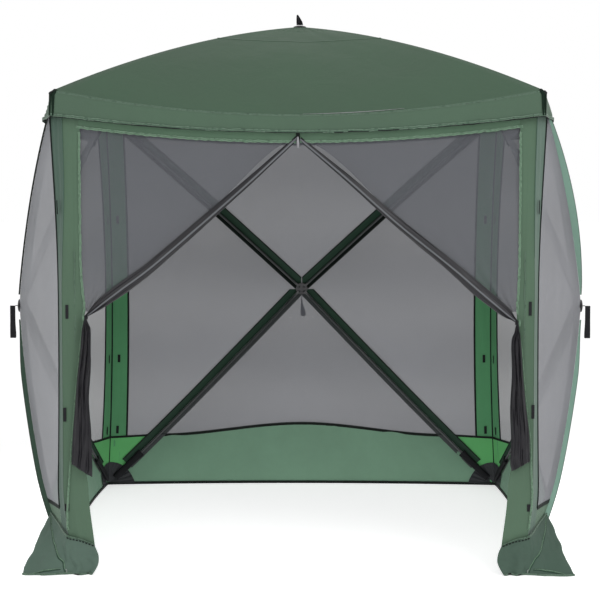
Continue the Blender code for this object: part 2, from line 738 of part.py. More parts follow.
def strap(name, at, out, side):
    """A doubled strap of webbing that hangs from the cord of a hub cap, edge to the wall. Its foot opens into a teardrop."""
    left = [(0.0022, -0.0015), (0.0022, 0.060), (0.0046, 0.079), (0.0060, 0.100), (0.0062, 0.122), (0.0036, 0.1345)]
    right = [(0.0022, -0.0015), (0.0022, 0.060), (0.0062, 0.079), (0.0128, 0.098), (0.0190, 0.118), (0.0192, 0.128), (0.0140, 0.1355)]
    outline = [(-b, d) for b, d in left] + [(b, d) for b, d in reversed(right)]
    down = np.array([0, 0, -1.0])
    points, faces = prism(outline, out, -STRAP_W / 2, STRAP_W / 2, at, side, down)
    body = add_object(name, points, faces, webbing(), origin=at)
    hole = [(-0.0020, 0.084), (-0.0034, 0.104), (-0.0034, 0.124), (0.0115, 0.1300), (0.0158, 0.1210), (0.0098, 0.1010), (0.0034, 0.084)]
    points, faces = prism(hole, out, -0.03, 0.03, at, side, down)
    boolean(body, "DIFFERENCE", cutter("loop_" + name, points, faces))
    return body


for which in ("left", "right", "back"):
    top, out = crown(which)
    side = np.array([0, 1.0, 0]) if abs(out[0]) > 0.5 else np.array([1.0, 0, 0])
    strap(which + "_pull_strap", top + out * STRAP_OUT, out, side)

# the roof's pull strap stands up stiffly, pinched where it meets the cap
top, out = crown("roof")
base = top + out * 0.0066
outline = [(0.0135, -0.0008), (0.0112, 0.0100), (0.0062, 0.0205), (-0.0008, 0.0325), (-0.0062, 0.0405), (-0.0095, 0.0428), (-0.0125, 0.0405), (-0.0138, 0.0330), (-0.0142, 0.0150), (-0.0135, -0.0008)]
points, faces = prism(outline, (0, 1, 0), -0.010, 0.010, base, (1, 0, 0), (0, 0, 1))
roof_strap = add_object("roof_pull_strap", points, faces, webbing(), origin=base)
pinch = [(-0.0013, -0.0100), (0.0013, -0.0100), (0.0013, 0.0000), (0.0100, 0.0100), (0.0100, 0.0600), (-0.0100, 0.0600), (-0.0100, 0.0100), (-0.0013, 0.0000)]
points, faces = prism(pinch, (1, 0, 0), -0.03, 0.03, base, (0, 1, 0), (0, 0, 1))
boolean(roof_strap, "INTERSECT", cutter("pinch_roof", points, faces))
inner_loop = [(0.0060, 0.0045), (0.0016, 0.0180), (-0.0050, 0.0300), (-0.0092, 0.0335), (-0.0106, 0.0280), (-0.0106, 0.0045)]
points, faces = prism(inner_loop, (0, 1, 0), -0.03, 0.03, base, (1, 0, 0), (0, 0, 1))
boolean(roof_strap, "DIFFERENCE", cutter("loop_roof", points, faces))


# ---------------------------------------------------------------- pockets that hold the pole tips
def pocket(name, key, top):
    """Webbing pockets sewn into one corner, round the tips of the poles that meet there."""
    z_corner = CORNER_Z if top else 0.0
    c = corner(key, z_corner)
    back, right = key[0] == "b", key[1] == "r"
    held = [("right" if right else "left", (1 if back else -1, 1 if top else -1))]
    if back:
        held.append(("back", (1 if right else -1, 1 if top else -1)))
    if top:
        held.append(("roof", (1 if right else -1, 1 if back else -1)))
    frames, ends = [], []
    for which, arm in held:
        hub_at, out = crown(which)
        reach = np.linalg.norm(ridge(which, *arm, 1.0) - hub_at)
        tip = ridge(which, *arm, POLES[(which, arm)][1])
        mouth = ridge(which, *arm, 1 - 0.215 / reach)
        along = unit(mouth - tip)
        lateral = unit(np.cross(out, along))
        up = np.cross(along, lateral)
        high = float(np.dot(mouth - tip, along))
        frames.append((tip, along, lateral, up, high))
        half_w, half_t = 0.0175, 0.0090
        flat = [(half_w * a, half_t * b) for a, b in ((-0.9, -1), (0.9, -1), (1, -0.6), (1, -0.25), (0.3, 0.93), (-0.3, 0.93), (-1, -0.25), (-1, -0.6))]
        ends.append(prism(flat, along, -0.012, high, tip, lateral, up))
    body = add_object(name, *ends[0], webbing())
    if len(held) > 1:
        for n, end in enumerate(ends[1:]):
            boolean(body, "UNION", cutter("sleeve_%s_%d" % (name, n), *end))
        # the reinforced cloth that joins the pockets in the corner
        hull = bmesh.new()
        for tip, along, lateral, up, high in frames:
            for w in (-0.0105, 0.018):
                for a, b in ((-1, -1), (1, -1), (1, 1), (-1, 1)):
                    hull.verts.new(Vector(tip + along * w + lateral * a * (0.0135 if b < 0 else 0.0050) + up * b * 0.0078))
        done = bmesh.ops.convex_hull(hull, input=hull.verts[:])
        bmesh.ops.delete(hull, geom=[v for v in done["geom_interior"] if isinstance(v, bmesh.types.BMVert)], context="VERTS")
        hull.verts.index_update()
        core_points = [tuple(v.co) for v in hull.verts]
        core_faces = [tuple(v.index for v in f.verts) for f in hull.faces]
        hull.free()
        boolean(body, "UNION", cutter("gusset_" + name, core_points, core_faces))
    for n, (tip, along, lateral, up, high) in enumerate(frames):
        points, faces = prism(circle(POLE_R + 0.0017, 12), along, -0.006, high + 0.03, tip, lateral, up)
        boolean(body, "DIFFERENCE", cutter("bore_%s_%d" % (name, n), points, faces))
    return body


for key, label in (("fl", "front_left"), ("fr", "front_right"), ("bl", "back_left"), ("br", "back_right")):
    pocket(label + "_foot_pocket", key, False)
    pocket(label + "_top_pocket", key, True)


# ---------------------------------------------------------------- origin under the middle of the whole
bpy.context.view_layer.update()
for obj in bpy.data.objects:
    obj.location.y -= MIDDLE_Y
    obj.location.z -= LOWEST_Z
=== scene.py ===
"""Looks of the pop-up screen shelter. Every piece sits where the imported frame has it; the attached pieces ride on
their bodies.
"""

import math

import bpy
import numpy as np
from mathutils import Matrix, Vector, noise


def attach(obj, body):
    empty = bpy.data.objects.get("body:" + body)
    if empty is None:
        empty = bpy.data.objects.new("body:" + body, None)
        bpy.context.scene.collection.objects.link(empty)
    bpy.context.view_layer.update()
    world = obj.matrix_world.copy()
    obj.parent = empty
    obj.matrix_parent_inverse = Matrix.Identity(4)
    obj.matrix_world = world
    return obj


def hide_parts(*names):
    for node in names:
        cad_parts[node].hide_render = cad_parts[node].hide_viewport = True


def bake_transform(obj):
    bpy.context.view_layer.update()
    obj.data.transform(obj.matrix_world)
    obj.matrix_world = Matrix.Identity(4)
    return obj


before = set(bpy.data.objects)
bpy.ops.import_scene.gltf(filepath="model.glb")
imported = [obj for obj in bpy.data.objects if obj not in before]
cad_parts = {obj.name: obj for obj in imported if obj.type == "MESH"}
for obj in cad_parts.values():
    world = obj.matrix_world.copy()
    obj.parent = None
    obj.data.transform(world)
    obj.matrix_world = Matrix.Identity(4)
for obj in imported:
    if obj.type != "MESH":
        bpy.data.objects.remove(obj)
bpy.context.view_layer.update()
scene = bpy.context.scene

# ---------------------------------------------------------------- the part's own dimensions and surfaces, in metres
DEPTH = 1.830
BACK_W = 1.830
FRONT_W_TOP = 1.736
FRONT_W_MID = 1.708
FRONT_W_FOOT = 1.650
CORNER_Z = 1.752
PEAK_Z = 2.058
HUB_Z = 0.9125
WALL_BULGE = 0.2940
EAVE_SAG = 0.087
EAVE_TUCK = 0.030
HEM_BULGE = 0.050
POLE_BOW = 0.025
POLE_INSET = 0.0165
TIP_BACK = 0.060
HUB_DROP = 0.0250
STRAP_W = 0.022
STRAP_OUT = 0.027
CAP_R = 0.026
POST_FACE = 0.078
BAND_MID = 0.280
BAND_END = 0.225
VALANCE_MID = 0.067
VALANCE_END = 0.097
VALANCE_OUT = 0.0155
SEAM_Z = 0.125
FLAP_OUT = 0.170
HEADER_Z_MID = 1.562
HEADER_Z_END = 1.612
TIE_Z = 0.942
GATHER_Z = 0.375
STRIP_U = 1 - POST_FACE / (DEPTH / 2)
HEAD_HALF = 0.775
CURTAIN_Y = -DEPTH / 2 + 0.016
SHIFT = np.array([0.0, -0.13281784, -0.0006])


def smooth(a, b, x):
    t = min(max((x - a) / (b - a), 0.0), 1.0)
    return t * t * (3 - 2 * t)


def unit(v):
    v = np.asarray(v, float)
    return v / max(np.linalg.norm(v), 1e-12)


def front_half(z):
    return (
        0.5 * FRONT_W_FOOT
        + 0.5 * (FRONT_W_MID - FRONT_W_FOOT) * smooth(0.0, 0.32, z)
        + 0.5 * (FRONT_W_TOP - FRONT_W_MID) * smooth(1.05, CORNER_Z, z)
    )


def back_half(z):
    w = z / CORNER_Z
    return 0.5 * BACK_W - 0.028 * 4 * w * (1 - w)


def corner(which, z):
    w = z / CORNER_Z
    x = front_half(z) if which[0] == "f" else back_half(z)
    y = -DEPTH / 2 + 0.012 * 4 * w * (1 - w) if which[0] == "f" else DEPTH / 2 - 0.018 * 4 * w * (1 - w)
    return np.array([-x if which[1] == "l" else x, y, z])


WALLS = {
    "left": ("fl", "bl", np.array([-1.0, 0, 0])),
    "right": ("fr", "br", np.array([1.0, 0, 0])),
    "back": ("bl", "br", np.array([0, 1.0, 0])),
}


def eave_z(c):
    return CORNER_Z - EAVE_SAG * (1 - c * c)


def wall_top(c):
    return eave_z(c) - 0.010


def ray(u, z):
    ts = abs(u)
    if z >= HUB_Z:
        rise = max(z - HUB_Z, 1e-9)
        c = min(max(u / (rise / (CORNER_Z - HUB_Z)), -1), 1)
        for _ in range(12):
            c = min(max(u * (wall_top(c) - HUB_Z) / rise, -1), 1)
        tv, edge = rise / (wall_top(c) - HUB_Z), "top"
    else:
        tv, edge = (HUB_Z - z) / HUB_Z, "hem"
        c = min(max(u / max(tv, 1e-9), -1), 1)
    if ts > tv:
        reach = ((wall_top(1) - HUB_Z) if z >= HUB_Z else HUB_Z) * ts
        return ts, (z - HUB_Z) / max(reach, 1e-9), "post"
    return tv, c, edge


def stand_out(u, z):
    t, c, edge = ray(u, z)
    flat = 1 - c * c
    rim = {"hem": HEM_BULGE, "top": -EAVE_TUCK - 0.006, "post": 0.0}[edge] * flat
    bow = POLE_BOW - 0.036 * flat
    return WALL_BULGE * (1 - t) + rim * t * t + 4 * t * (1 - t) * bow


def wall(which, u, z, inside=0.0):
    a, b, out = WALLS[which]
    base = corner(a, z) * (1 - u) / 2 + corner(b, z) * (1 + u) / 2
    return base + out * (stand_out(u, z) - inside)


def roof_z(t, c):
    return PEAK_Z - (PEAK_Z - CORNER_Z) * (0.4727 * t + 0.5273 * t * t) - EAVE_SAG * t * t * (1 - c * c)


SIDES = (("fl", "fr", (0, -1)), ("fr", "br", (1, 0)), ("br", "bl", (0, 1)), ("bl", "fl", (-1, 0)))
SIDE_NAMES = ("front", "right", "back", "left")


def eave(side, c, out=0.0):
    a, b, n = SIDES[side]
    p = corner(a, CORNER_Z) * (1 - c) / 2 + corner(b, CORNER_Z) * (1 + c) / 2
    k = -EAVE_TUCK * (1 - c * c) + out
    return np.array([p[0] + n[0] * k, p[1] + n[1] * k, eave_z(c)])


def roof(side, c, t, inside=0.0):
    e = eave(side, c)
    return np.array([e[0] * t, e[1] * t, roof_z(t, c) - inside])


def band_top(u):
    return BAND_MID + (BAND_END - BAND_MID) * smooth(0.0, 0.75, abs(u))


def valance_drop(c):
    return VALANCE_MID + (VALANCE_END - VALANCE_MID) * c * c


def front_face(z):
    return 0.070 + 0.022 * (1 - smooth(0.30, 0.46, z)) - 0.004 * smooth(1.2, 1.7, z)


def header_low(c):
    return HEADER_Z_MID + (HEADER_Z_END - HEADER_Z_MID) * c * c


def door_y(x):
    c = x / (FRONT_W_TOP / 2)
    return -DEPTH / 2 + EAVE_TUCK * (1 - c * c)


def gather_edge(z, tie_x, edge_x):
    share = min(max((z - GATHER_Z) / (TIE_Z - GATHER_Z), 0.0), 1.0)
    x = tie_x - 0.004 - 0.012 * math.sin(math.pi * share) - 0.010 * (1 - smooth(GATHER_Z, TIE_Z, z))
    return min(x, edge_x - 0.030)


def ridge(which, su, sz, k, inset=POLE_INSET):
    if which == "roof":
        side = {(-1, -1): (0, -1.0), (1, -1): (1, -1.0), (1, 1): (2, -1.0), (-1, 1): (3, -1.0)}[(su, sz)]
        return roof(side[0], side[1], k, inset)
    reach = (wall_top(1) - HUB_Z) if sz > 0 else -HUB_Z
    return wall(which, su * k, HUB_Z + reach * k, inset)


def crown(which):
    if which == "roof":
        return np.array([0, 0, PEAK_Z]), np.array([0, 0, 1.0])
    out = WALLS[which][2]
    a, b, _ = WALLS[which]
    return (corner(a, HUB_Z) + corner(b, HUB_Z)) / 2 + out * WALL_BULGE, out


def fbm(x, y, z=0.0, octaves=3):
    total, size = 0.0, 1.0
    for k in range(octaves):
        total += size * noise.noise(Vector((x, y, z)))
        x, y, z, size = x * 2.03 + 5.1, y * 2.03 - 3.7, z * 2.03 + 1.3, size * 0.5
    return total


def srgb(r, g, b):
    return tuple(((v / 255 + 0.055) / 1.055) ** 2.4 if v > 10 else v / 255 / 12.92 for v in (r, g, b))


# ---------------------------------------------------------------- materials
MATERIALS = {}


class Tree:
    def __init__(self, name):
        self.mat = bpy.data.materials.new(name)
        self.mat.use_nodes = True
        self.nodes = self.mat.node_tree.nodes
        self.links = self.mat.node_tree.links
        self.shader = self.nodes["Principled BSDF"]
        self.coord = self.nodes.new("ShaderNodeTexCoord")

    def new(self, kind, **values):
        node = self.nodes.new(kind)
        for key, value in values.items():
            setattr(node, key, value)
        return node

    def link(self, a, b):
        self.links.new(a, b)

    def mapped(self, source, scale=(1, 1, 1), turn=(0, 0, 0)):
        node = self.new("ShaderNodeMapping")
        node.inputs["Scale"].default_value = scale
        node.inputs["Rotation"].default_value = turn
        self.link(self.coord.outputs[source], node.inputs["Vector"])
        return node.outputs["Vector"]

    def noise(self, vector, scale, detail=3.0, rough=0.5, distortion=0.0):
        node = self.new("ShaderNodeTexNoise")
        node.inputs["Scale"].default_value = scale
        node.inputs["Detail"].default_value = detail
        node.inputs["Roughness"].default_value = rough
        node.inputs["Distortion"].default_value = distortion
        self.link(vector, node.inputs["Vector"])
        return node.outputs["Fac"]

    def wave(self, vector, period, direction="X", distortion=0.0):
        node = self.new("ShaderNodeTexWave", wave_type="BANDS", bands_direction=direction)
        node.inputs["Scale"].default_value = 0.314159 / period
        node.inputs["Distortion"].default_value = distortion
        self.link(vector, node.inputs["Vector"])
        return node.outputs["Fac"]

    def math(self, operation, a, b=None, clamp=False):
        node = self.new("ShaderNodeMath", operation=operation, use_clamp=clamp)
        for k, v in enumerate((a, b)):
            if v is None:
                continue
            if isinstance(v, (int, float)):
                node.inputs[k].default_value = v
            else:
                self.link(v, node.inputs[k])
        return node.outputs[0]

    def remap(self, value, low, high, to_low, to_high):
        node = self.new("ShaderNodeMapRange")
        node.inputs["From Min"].default_value = low
        node.inputs["From Max"].default_value = high
        node.inputs["To Min"].default_value = to_low
        node.inputs["To Max"].default_value = to_high
        self.link(value, node.inputs["Value"])
        return node.outputs["Result"]

    def mix(self, factor, a, b):
        node = self.new("ShaderNodeMix", data_type="RGBA", blend_type="MIX")
        for socket, value in ((node.inputs[0], factor), (node.inputs[6], a), (node.inputs[7], b)):
            if isinstance(value, (int, float)):
                socket.default_value = value
            elif isinstance(value, tuple):
                socket.default_value = (*value, 1.0)
            else:
                self.link(value, socket)
        return node.outputs[2]

    def bump(self, height, strength, distance, normal=None):
        node = self.new("ShaderNodeBump")
        node.inputs["Strength"].default_value = strength
        node.inputs["Distance"].default_value = distance
        self.link(height, node.inputs["Height"])
        if normal is not None:
            self.link(normal, node.inputs["Normal"])
        return node.outputs["Normal"]

    def set(self, **values):
        for key, value in values.items():
            socket = self.shader.inputs[key.replace("_", " ")]
            if isinstance(value, (int, float)):
                socket.default_value = value
            elif isinstance(value, tuple):
                socket.default_value = (*value, 1.0)
            else:
                self.link(value, socket)


def scaled(rgb, k):
    return tuple(min(max(v * k, 0), 1) for v in rgb)


def cloth_material(name, rgb, sheen=0.07, rough=0.74, crease=0.35, dirt=0.10, stretch=(1.0, 1.0, 0.45), folds_scale=7.0, shine=0.35):
    """Plain-woven polyester: fine threads, broad colour variation, soft creases."""
    t = Tree(name)
    warp = t.wave(t.mapped("UV"), 0.0016, "X")
    weft = t.wave(t.mapped("UV"), 0.0016, "Y")
    weave = t.math("MULTIPLY", warp, weft)
    broad = t.noise(t.mapped("Object"), 2.3, 4.0, 0.55)
    fine = t.noise(t.mapped("Object"), 55.0, 2.0, 0.6)
    folds = t.noise(t.mapped("Object", stretch), folds_scale, 5.0, 0.55, 1.1)
    colour = t.mix(t.remap(broad, 0.3, 0.7, 0, 1), scaled(rgb, 1 - dirt), scaled(rgb, 1 + dirt))
    colour = t.mix(t.remap(fine, 0.3, 0.7, 0.0, 0.10), colour, scaled(rgb, 0.75))
    colour = t.mix(t.remap(weave, 0.0, 1.0, 0.0, 0.14), colour, scaled(rgb, 1.25))
    roughness = t.remap(broad, 0.3, 0.7, rough - 0.06, rough + 0.06)
    normal = t.bump(folds, crease, 0.006)
    normal = t.bump(weave, 0.35, 0.00025, normal)
    t.set(Base_Color=colour, Roughness=roughness, Normal=normal)
    t.set(Sheen_Weight=sheen, Sheen_Roughness=0.45, Specular_IOR_Level=shine)
    return t.mat


def net_material(name, rgb, solid, spread=0.10, bands=0.06, sheen=0.1, rough=0.75):
    """Fine knitted netting: see-through between its threads."""
    t = Tree(name)
    one = t.wave(t.mapped("UV", turn=(0, 0, math.radians(45))), 0.0026, "X")
    two = t.wave(t.mapped("UV", turn=(0, 0, math.radians(45))), 0.0026, "Y")
    cells = t.math("MAXIMUM", one, two)
    broad = t.noise(t.mapped("Object"), 1.7, 3.0, 0.5)
    level = t.wave(t.mapped("Object"), 0.42, "Z", 2.0)
    colour = t.mix(t.remap(broad, 0.3, 0.7, 0, 1), scaled(rgb, 0.92), scaled(rgb, 1.08))
    colour = t.mix(t.remap(level, 0, 1, 0, bands * 4), colour, scaled(rgb, 1.30))
    colour = t.mix(t.remap(cells, 0.2, 1.0, 0.25, 0.0), colour, scaled(rgb, 0.55))
    alpha = t.math("ADD", t.remap(cells, 0.25, 1.0, solid - spread, solid + spread), t.remap(level, 0, 1, -bands * 0.4, bands * 0.4), clamp=True)
    normal = t.bump(cells, 0.3, 0.0003)
    t.set(Base_Color=colour, Roughness=t.remap(broad, 0.3, 0.7, rough - 0.08, rough + 0.08), Normal=normal, Alpha=alpha)
    t.set(Sheen_Weight=sheen, Sheen_Roughness=0.4, Specular_IOR_Level=0.3)
    return t.mat


def webbing_material(name, rgb, rough=0.62, thread=None):
    """Woven tape with a twill. thread is not used."""
    t = Tree(name)
    twill = t.wave(t.mapped("UV", turn=(0, 0, math.radians(38))), 0.0020, "X")
    rib = t.wave(t.mapped("UV"), 0.0026, "X")
    weave = t.math("MULTIPLY", twill, rib)
    broad = t.noise(t.mapped("Object"), 30.0, 3.0, 0.6)
    colour = t.mix(t.remap(weave, 0, 1, 0, 1), scaled(rgb, 0.7), scaled(rgb, 1.5))
    colour = t.mix(t.remap(broad, 0.4, 0.75, 0, 0.35), colour, scaled(rgb, 2.2))
    t.set(Base_Color=colour, Roughness=t.remap(broad, 0.3, 0.7, rough - 0.07, rough + 0.1), Normal=t.bump(weave, 0.6, 0.0004))
    t.set(Sheen_Weight=0.02, Sheen_Roughness=0.5, Specular_IOR_Level=0.16)
    return t.mat


def stitched_material(name, rgb, thread, rough=0.70, pitch=0.0045, sheen=0.1, shine=0.35):
    """Folded tape or hem, UV x along it and y across it from -1 to 1: two rows of stitches and puckered cloth between,
    with painted light and shade on the puckers.
    """
    t = Tree(name)
    split = t.new("ShaderNodeSeparateXYZ")
    t.link(t.coord.outputs["UV"], split.inputs[0])
    along, across = split.outputs[0], split.outputs[1]
    off = t.math("ABSOLUTE", t.math("SUBTRACT", t.math("ABSOLUTE", across), 0.62))
    row = t.math("LESS_THAN", off, 0.10)
    dash = t.math("LESS_THAN", t.math("FRACT", t.math("MULTIPLY", along, 1 / pitch)), 0.62)
    patchy = t.math("GREATER_THAN", t.noise(t.mapped("UV", (1, 0.002, 1)), 48.0, 2.0, 0.6), 0.44)
    stitch = t.math("MULTIPLY", t.math("MULTIPLY", row, dash), patchy)
    pucker = t.noise(t.mapped("UV", (1, 0.004, 1)), 130.0, 2.0, 0.5)
    broad = t.noise(t.mapped("Object"), 9.0, 3.0, 0.6)
    # the colour follows the pucker noise that also raises the bump: painted light on the raised puckers and painted
    # shade in their dips
    colour = t.mix(t.remap(pucker, 0.35, 0.65, 0, 1), scaled(rgb, 0.80), scaled(rgb, 1.18))
    colour = t.mix(t.remap(broad, 0.3, 0.7, 0, 0.25), colour, scaled(rgb, 0.7))
    # dark patches: painted shade in the deepest puckers
    deep = t.noise(t.mapped("UV", (1, 0.006, 1)), 62.0, 3.0, 0.6)
    colour = t.mix(t.remap(deep, 0.58, 0.66, 0, 0.75), colour, scaled(rgb, 0.22))
    colour = t.mix(stitch, colour, thread)
    height = t.math("ADD", t.math("MULTIPLY", pucker, 0.6), t.math("MULTIPLY", stitch, 0.35))
    t.set(Base_Color=colour, Roughness=t.remap(broad, 0.3, 0.7, rough - 0.05, rough + 0.05), Normal=t.bump(height, 0.6, 0.0015))
    t.set(Sheen_Weight=sheen, Sheen_Roughness=0.5, Specular_IOR_Level=shine)
    return t.mat


def moulded_material(name, rgb, rough=0.42):
    """Moulded nylon: fine grain, worn lighter in places."""
    t = Tree(name)
    grain = t.noise(t.mapped("Object"), 900.0, 2.0, 0.6)
    wear = t.noise(t.mapped("Object"), 60.0, 4.0, 0.6)
    colour = t.mix(t.remap(wear, 0.5, 0.8, 0, 0.5), rgb, scaled(rgb, 2.4))
    t.set(Base_Color=colour, Roughness=t.remap(wear, 0.3, 0.7, rough - 0.06, rough + 0.14), Normal=t.bump(grain, 0.25, 0.0002))
    t.set(Specular_IOR_Level=0.5)
    return t.mat


def rod_material(name, rgb):
    """Pultruded fibreglass: fine streaks along the rod under a thin clear coat."""
    t = Tree(name)
    streak = t.noise(t.mapped("Object"), 240.0, 2.0, 0.6, 0.3)
    scuff = t.noise(t.mapped("Object"), 18.0, 4.0, 0.65)
    colour = t.mix(t.remap(streak, 0.3, 0.7, 0, 1), scaled(rgb, 0.75), scaled(rgb, 1.35))
    colour = t.mix(t.remap(scuff, 0.55, 0.8, 0, 0.5), colour, scaled(rgb, 2.0))
    t.set(Base_Color=colour, Roughness=t.remap(scuff, 0.3, 0.7, 0.30, 0.48), Normal=t.bump(streak, 0.15, 0.0003))
    t.set(Coat_Weight=0.25, Coat_Roughness=0.25, Specular_IOR_Level=0.5)
    return t.mat


def metal_material(name, rgb, rough=0.30):
    t = Tree(name)
    brush = t.noise(t.mapped("Object", (1, 1, 0.1)), 1500.0, 2.0, 0.6)
    wear = t.noise(t.mapped("Object"), 150.0, 3.0, 0.6)
    colour = t.mix(t.remap(wear, 0.45, 0.75, 0, 0.6), rgb, scaled(rgb, 0.62))
    t.set(Base_Color=colour, Roughness=t.remap(wear, 0.3, 0.7, rough - 0.08, rough + 0.12), Normal=t.bump(brush, 0.2, 0.0001))
    t.set(Metallic=1.0)
    return t.mat


GREEN = cloth_material("green_polyester", (0.034, 0.071, 0.041), sheen=0.03, crease=0.50)
VAL_GREEN = cloth_material("valance_polyester", (0.049, 0.089, 0.057), crease=0.60)
# the foot flaps are one cloth in two copies: the right copy is darker, painted shade
FLAP_LEFT = cloth_material("left_flap_polyester", (0.060, 0.100, 0.077), crease=0.60)
FLAP_RIGHT_SHADED = cloth_material("right_flap_polyester_painted_shade", (0.038, 0.069, 0.050), crease=0.60)
LIGHT = cloth_material("light_green_polyester", (0.057, 0.104, 0.065), crease=0.45)
# the header's own lighter copy of the post-face cloth: painted light on the header
HEADER_GREEN_LIT = cloth_material("header_polyester_painted_light", (0.068, 0.128, 0.079), crease=0.45)
# the post sides are one cloth in two copies: the darker copy is painted shade on the left post's side, the lighter copy
# painted light on the right post's side
POST_SIDE_SHADE_GREEN = cloth_material("post_side_polyester", (0.038, 0.080, 0.057), crease=0.40)
POST_SIDE_LIT_GREEN = cloth_material("post_side_polyester_painted_light", (0.066, 0.112, 0.085), crease=0.40)
# the band's own lighter green, brightened further to stand in for the light that reaches the inside of the shelter:
# partly the cloth's colour, partly painted light
BAND_GREEN_LIT = cloth_material("band_polyester_painted_light", (0.185, 0.330, 0.228), crease=0.35)
CORNER_GREEN = cloth_material("band_corner_polyester", (0.075, 0.130, 0.085), crease=0.40)
# the back posts' cloth, brightened to stand in for light shining through it from behind: painted light
BACK_GREEN_LIT = cloth_material("inner_green_polyester_painted_light", (0.078, 0.270, 0.118), crease=0.35)
PANEL_GREEN = cloth_material("corner_panel_polyester", (0.105, 0.400, 0.130), crease=0.40)
FIN_DARK = cloth_material("dark_seam_polyester", (0.026, 0.060, 0.038), crease=0.30)
# a lighter copy of the seam cloth: painted light where a fin faces the light
FIN_LIT = cloth_material("seam_polyester_painted_light", (0.170, 0.290, 0.230), crease=0.30)
# dark sleeve cloth, also used for dark strips of painted shade beside the flaps' folds
SLEEVE_AND_SHADE = cloth_material("sleeve_polyester", (0.018, 0.044, 0.028), sheen=0.02, crease=0.25, shine=0.2)
# near-black green for painted shade in the valance's corner creases
CREASE_SHADE = cloth_material("painted_crease_shade", (0.005, 0.014, 0.008), sheen=0.0, crease=0.2, shine=0.1)
HEM = stitched_material("hem_tape", (0.045, 0.088, 0.056), (0.20, 0.27, 0.21))
# door hem tape, also used for pale strips of painted highlight along folds of the posts and flaps
DOOR_HEM_AND_HIGHLIGHT = stitched_material("door_hem_tape_and_painted_highlight", (0.078, 0.145, 0.090), (0.24, 0.33, 0.25))
# a pale line along the lower edge of the lower sleeves: painted highlight of the pole
POLE_HIGHLIGHT_LINE = stitched_material("sleeve_edge_piping", (0.46, 0.49, 0.48), (0.60, 0.63, 0.62))
# pale piping, also used for a painted highlight on a fold of the valance
PALE_PIPING_AND_HIGHLIGHT = stitched_material("pale_piping_and_painted_highlight", (0.170, 0.190, 0.180), (0.30, 0.32, 0.31))
# black binding, also used for black lines of painted shadow under the valance, under the flap hems and at the valance
# corners
BINDING_AND_SHADOW = stitched_material("black_binding_and_painted_shadow", (0.009, 0.013, 0.011), (0.030, 0.034, 0.034), sheen=0.01, shine=0.12)
NET = net_material("grey_netting", (0.205, 0.210, 0.225), 0.80)
# darker copies of the same netting: painted shade on the right wall and on the back wall, whose inside faces the front
NET_RIGHT_SHADED = net_material("right_grey_netting_painted_shade", (0.172, 0.175, 0.190), 0.81)
NET_BACK_SHADED = net_material("back_grey_netting_painted_shade", (0.166, 0.170, 0.196), 0.86, bands=0.03)
DOOR_NET = net_material("door_netting", (0.078, 0.082, 0.093), 0.72, bands=0.0)
BLACK_NET = cloth_material("gathered_netting", (0.007, 0.0065, 0.009), sheen=0.02, shine=0.28, rough=0.40, crease=1.0, stretch=(1.0, 1.0, 0.16), folds_scale=34.0)
ROLL_NET = cloth_material("rolled_netting", (0.010, 0.0095, 0.012), sheen=0.03, rough=0.40, crease=0.9)
ROLL_EDGE = cloth_material("rolled_edge_tape", (0.085, 0.090, 0.098), sheen=0.1, rough=0.5, crease=0.4)
WEBBING = webbing_material("black_webbing", (0.009, 0.009, 0.011))
PATCH = cloth_material("corner_patch", (0.026, 0.028, 0.032), sheen=0.03, rough=0.5, crease=0.3, shine=0.25)
NYLON = moulded_material("black_nylon", (0.036, 0.034, 0.038))
ROD = rod_material("dark_fibreglass", (0.040, 0.042, 0.045))
SEAM_GREY = cloth_material("seam_allowance", (0.060, 0.066, 0.068), crease=0.3)
METAL = metal_material("plated_metal", (0.20, 0.20, 0.21), rough=0.42)


# ---------------------------------------------------------------- mesh helpers
def make(name, points, faces, mat, uvs=None, smooth_faces=True, normals=None):
    """A mesh whose points are given in the design frame. uvs and normals are per point."""
    points = np.asarray(points, float) + SHIFT
    mesh = bpy.data.meshes.new(name)
    faces = [f for f in faces if len(set(f)) > 2]
    if normals is not None:  # the faces turn the way their normals do
        f = faces[len(faces) // 2]
        if np.dot(np.cross(points[f[1]] - points[f[0]], points[f[2]] - points[f[1]]), normals[f[0]]) < 0:
            faces = [f[::-1] for f in faces]
    mesh.from_pydata([tuple(p) for p in points], [], faces)
    mesh.validate()
    if uvs is not None:
        layer = mesh.uv_layers.new(name="UVMap")
        index = np.zeros(len(mesh.loops), np.int32)
        mesh.loops.foreach_get("vertex_index", index)
        layer.data.foreach_set("uv", np.asarray(uvs, np.float32)[index].ravel())
    mesh.materials.append(mat)
    if smooth_faces:
        mesh.shade_smooth()
    if normals is not None:
        mesh.normals_split_custom_set_from_vertices([tuple(n) for n in normals])
    obj = bpy.data.objects.new(name, mesh)
    scene.collection.objects.link(obj)
    return obj


def grid_faces(rows, cols, closed_c=False, closed_r=False):
    faces = []
    for r in range(rows if closed_r else rows - 1):
        for c in range(cols if closed_c else cols - 1):
            a, b = r * cols + c, r * cols + (c + 1) % cols
            d, e = ((r + 1) % rows) * cols + c, ((r + 1) % rows) * cols + (c + 1) % cols
            faces.append((a, b, e, d))
    return faces


def grid_uv(p):
    """Metric UVs of a grid of points: lengths along its middle row and column."""
    rows, cols = p.shape[:2]
    u = np.zeros((rows, cols))
    v = np.zeros((rows, cols))
    step_c = np.linalg.norm(np.diff(p, axis=1), axis=2)
    step_r = np.linalg.norm(np.diff(p, axis=0), axis=2)
    u[:, 1:] = np.cumsum(step_c, axis=1)
    u -= u[:, -1:] / 2
    v[1:, :] = np.cumsum(step_r, axis=0)
    return np.stack([u, v], axis=2).reshape(-1, 2)


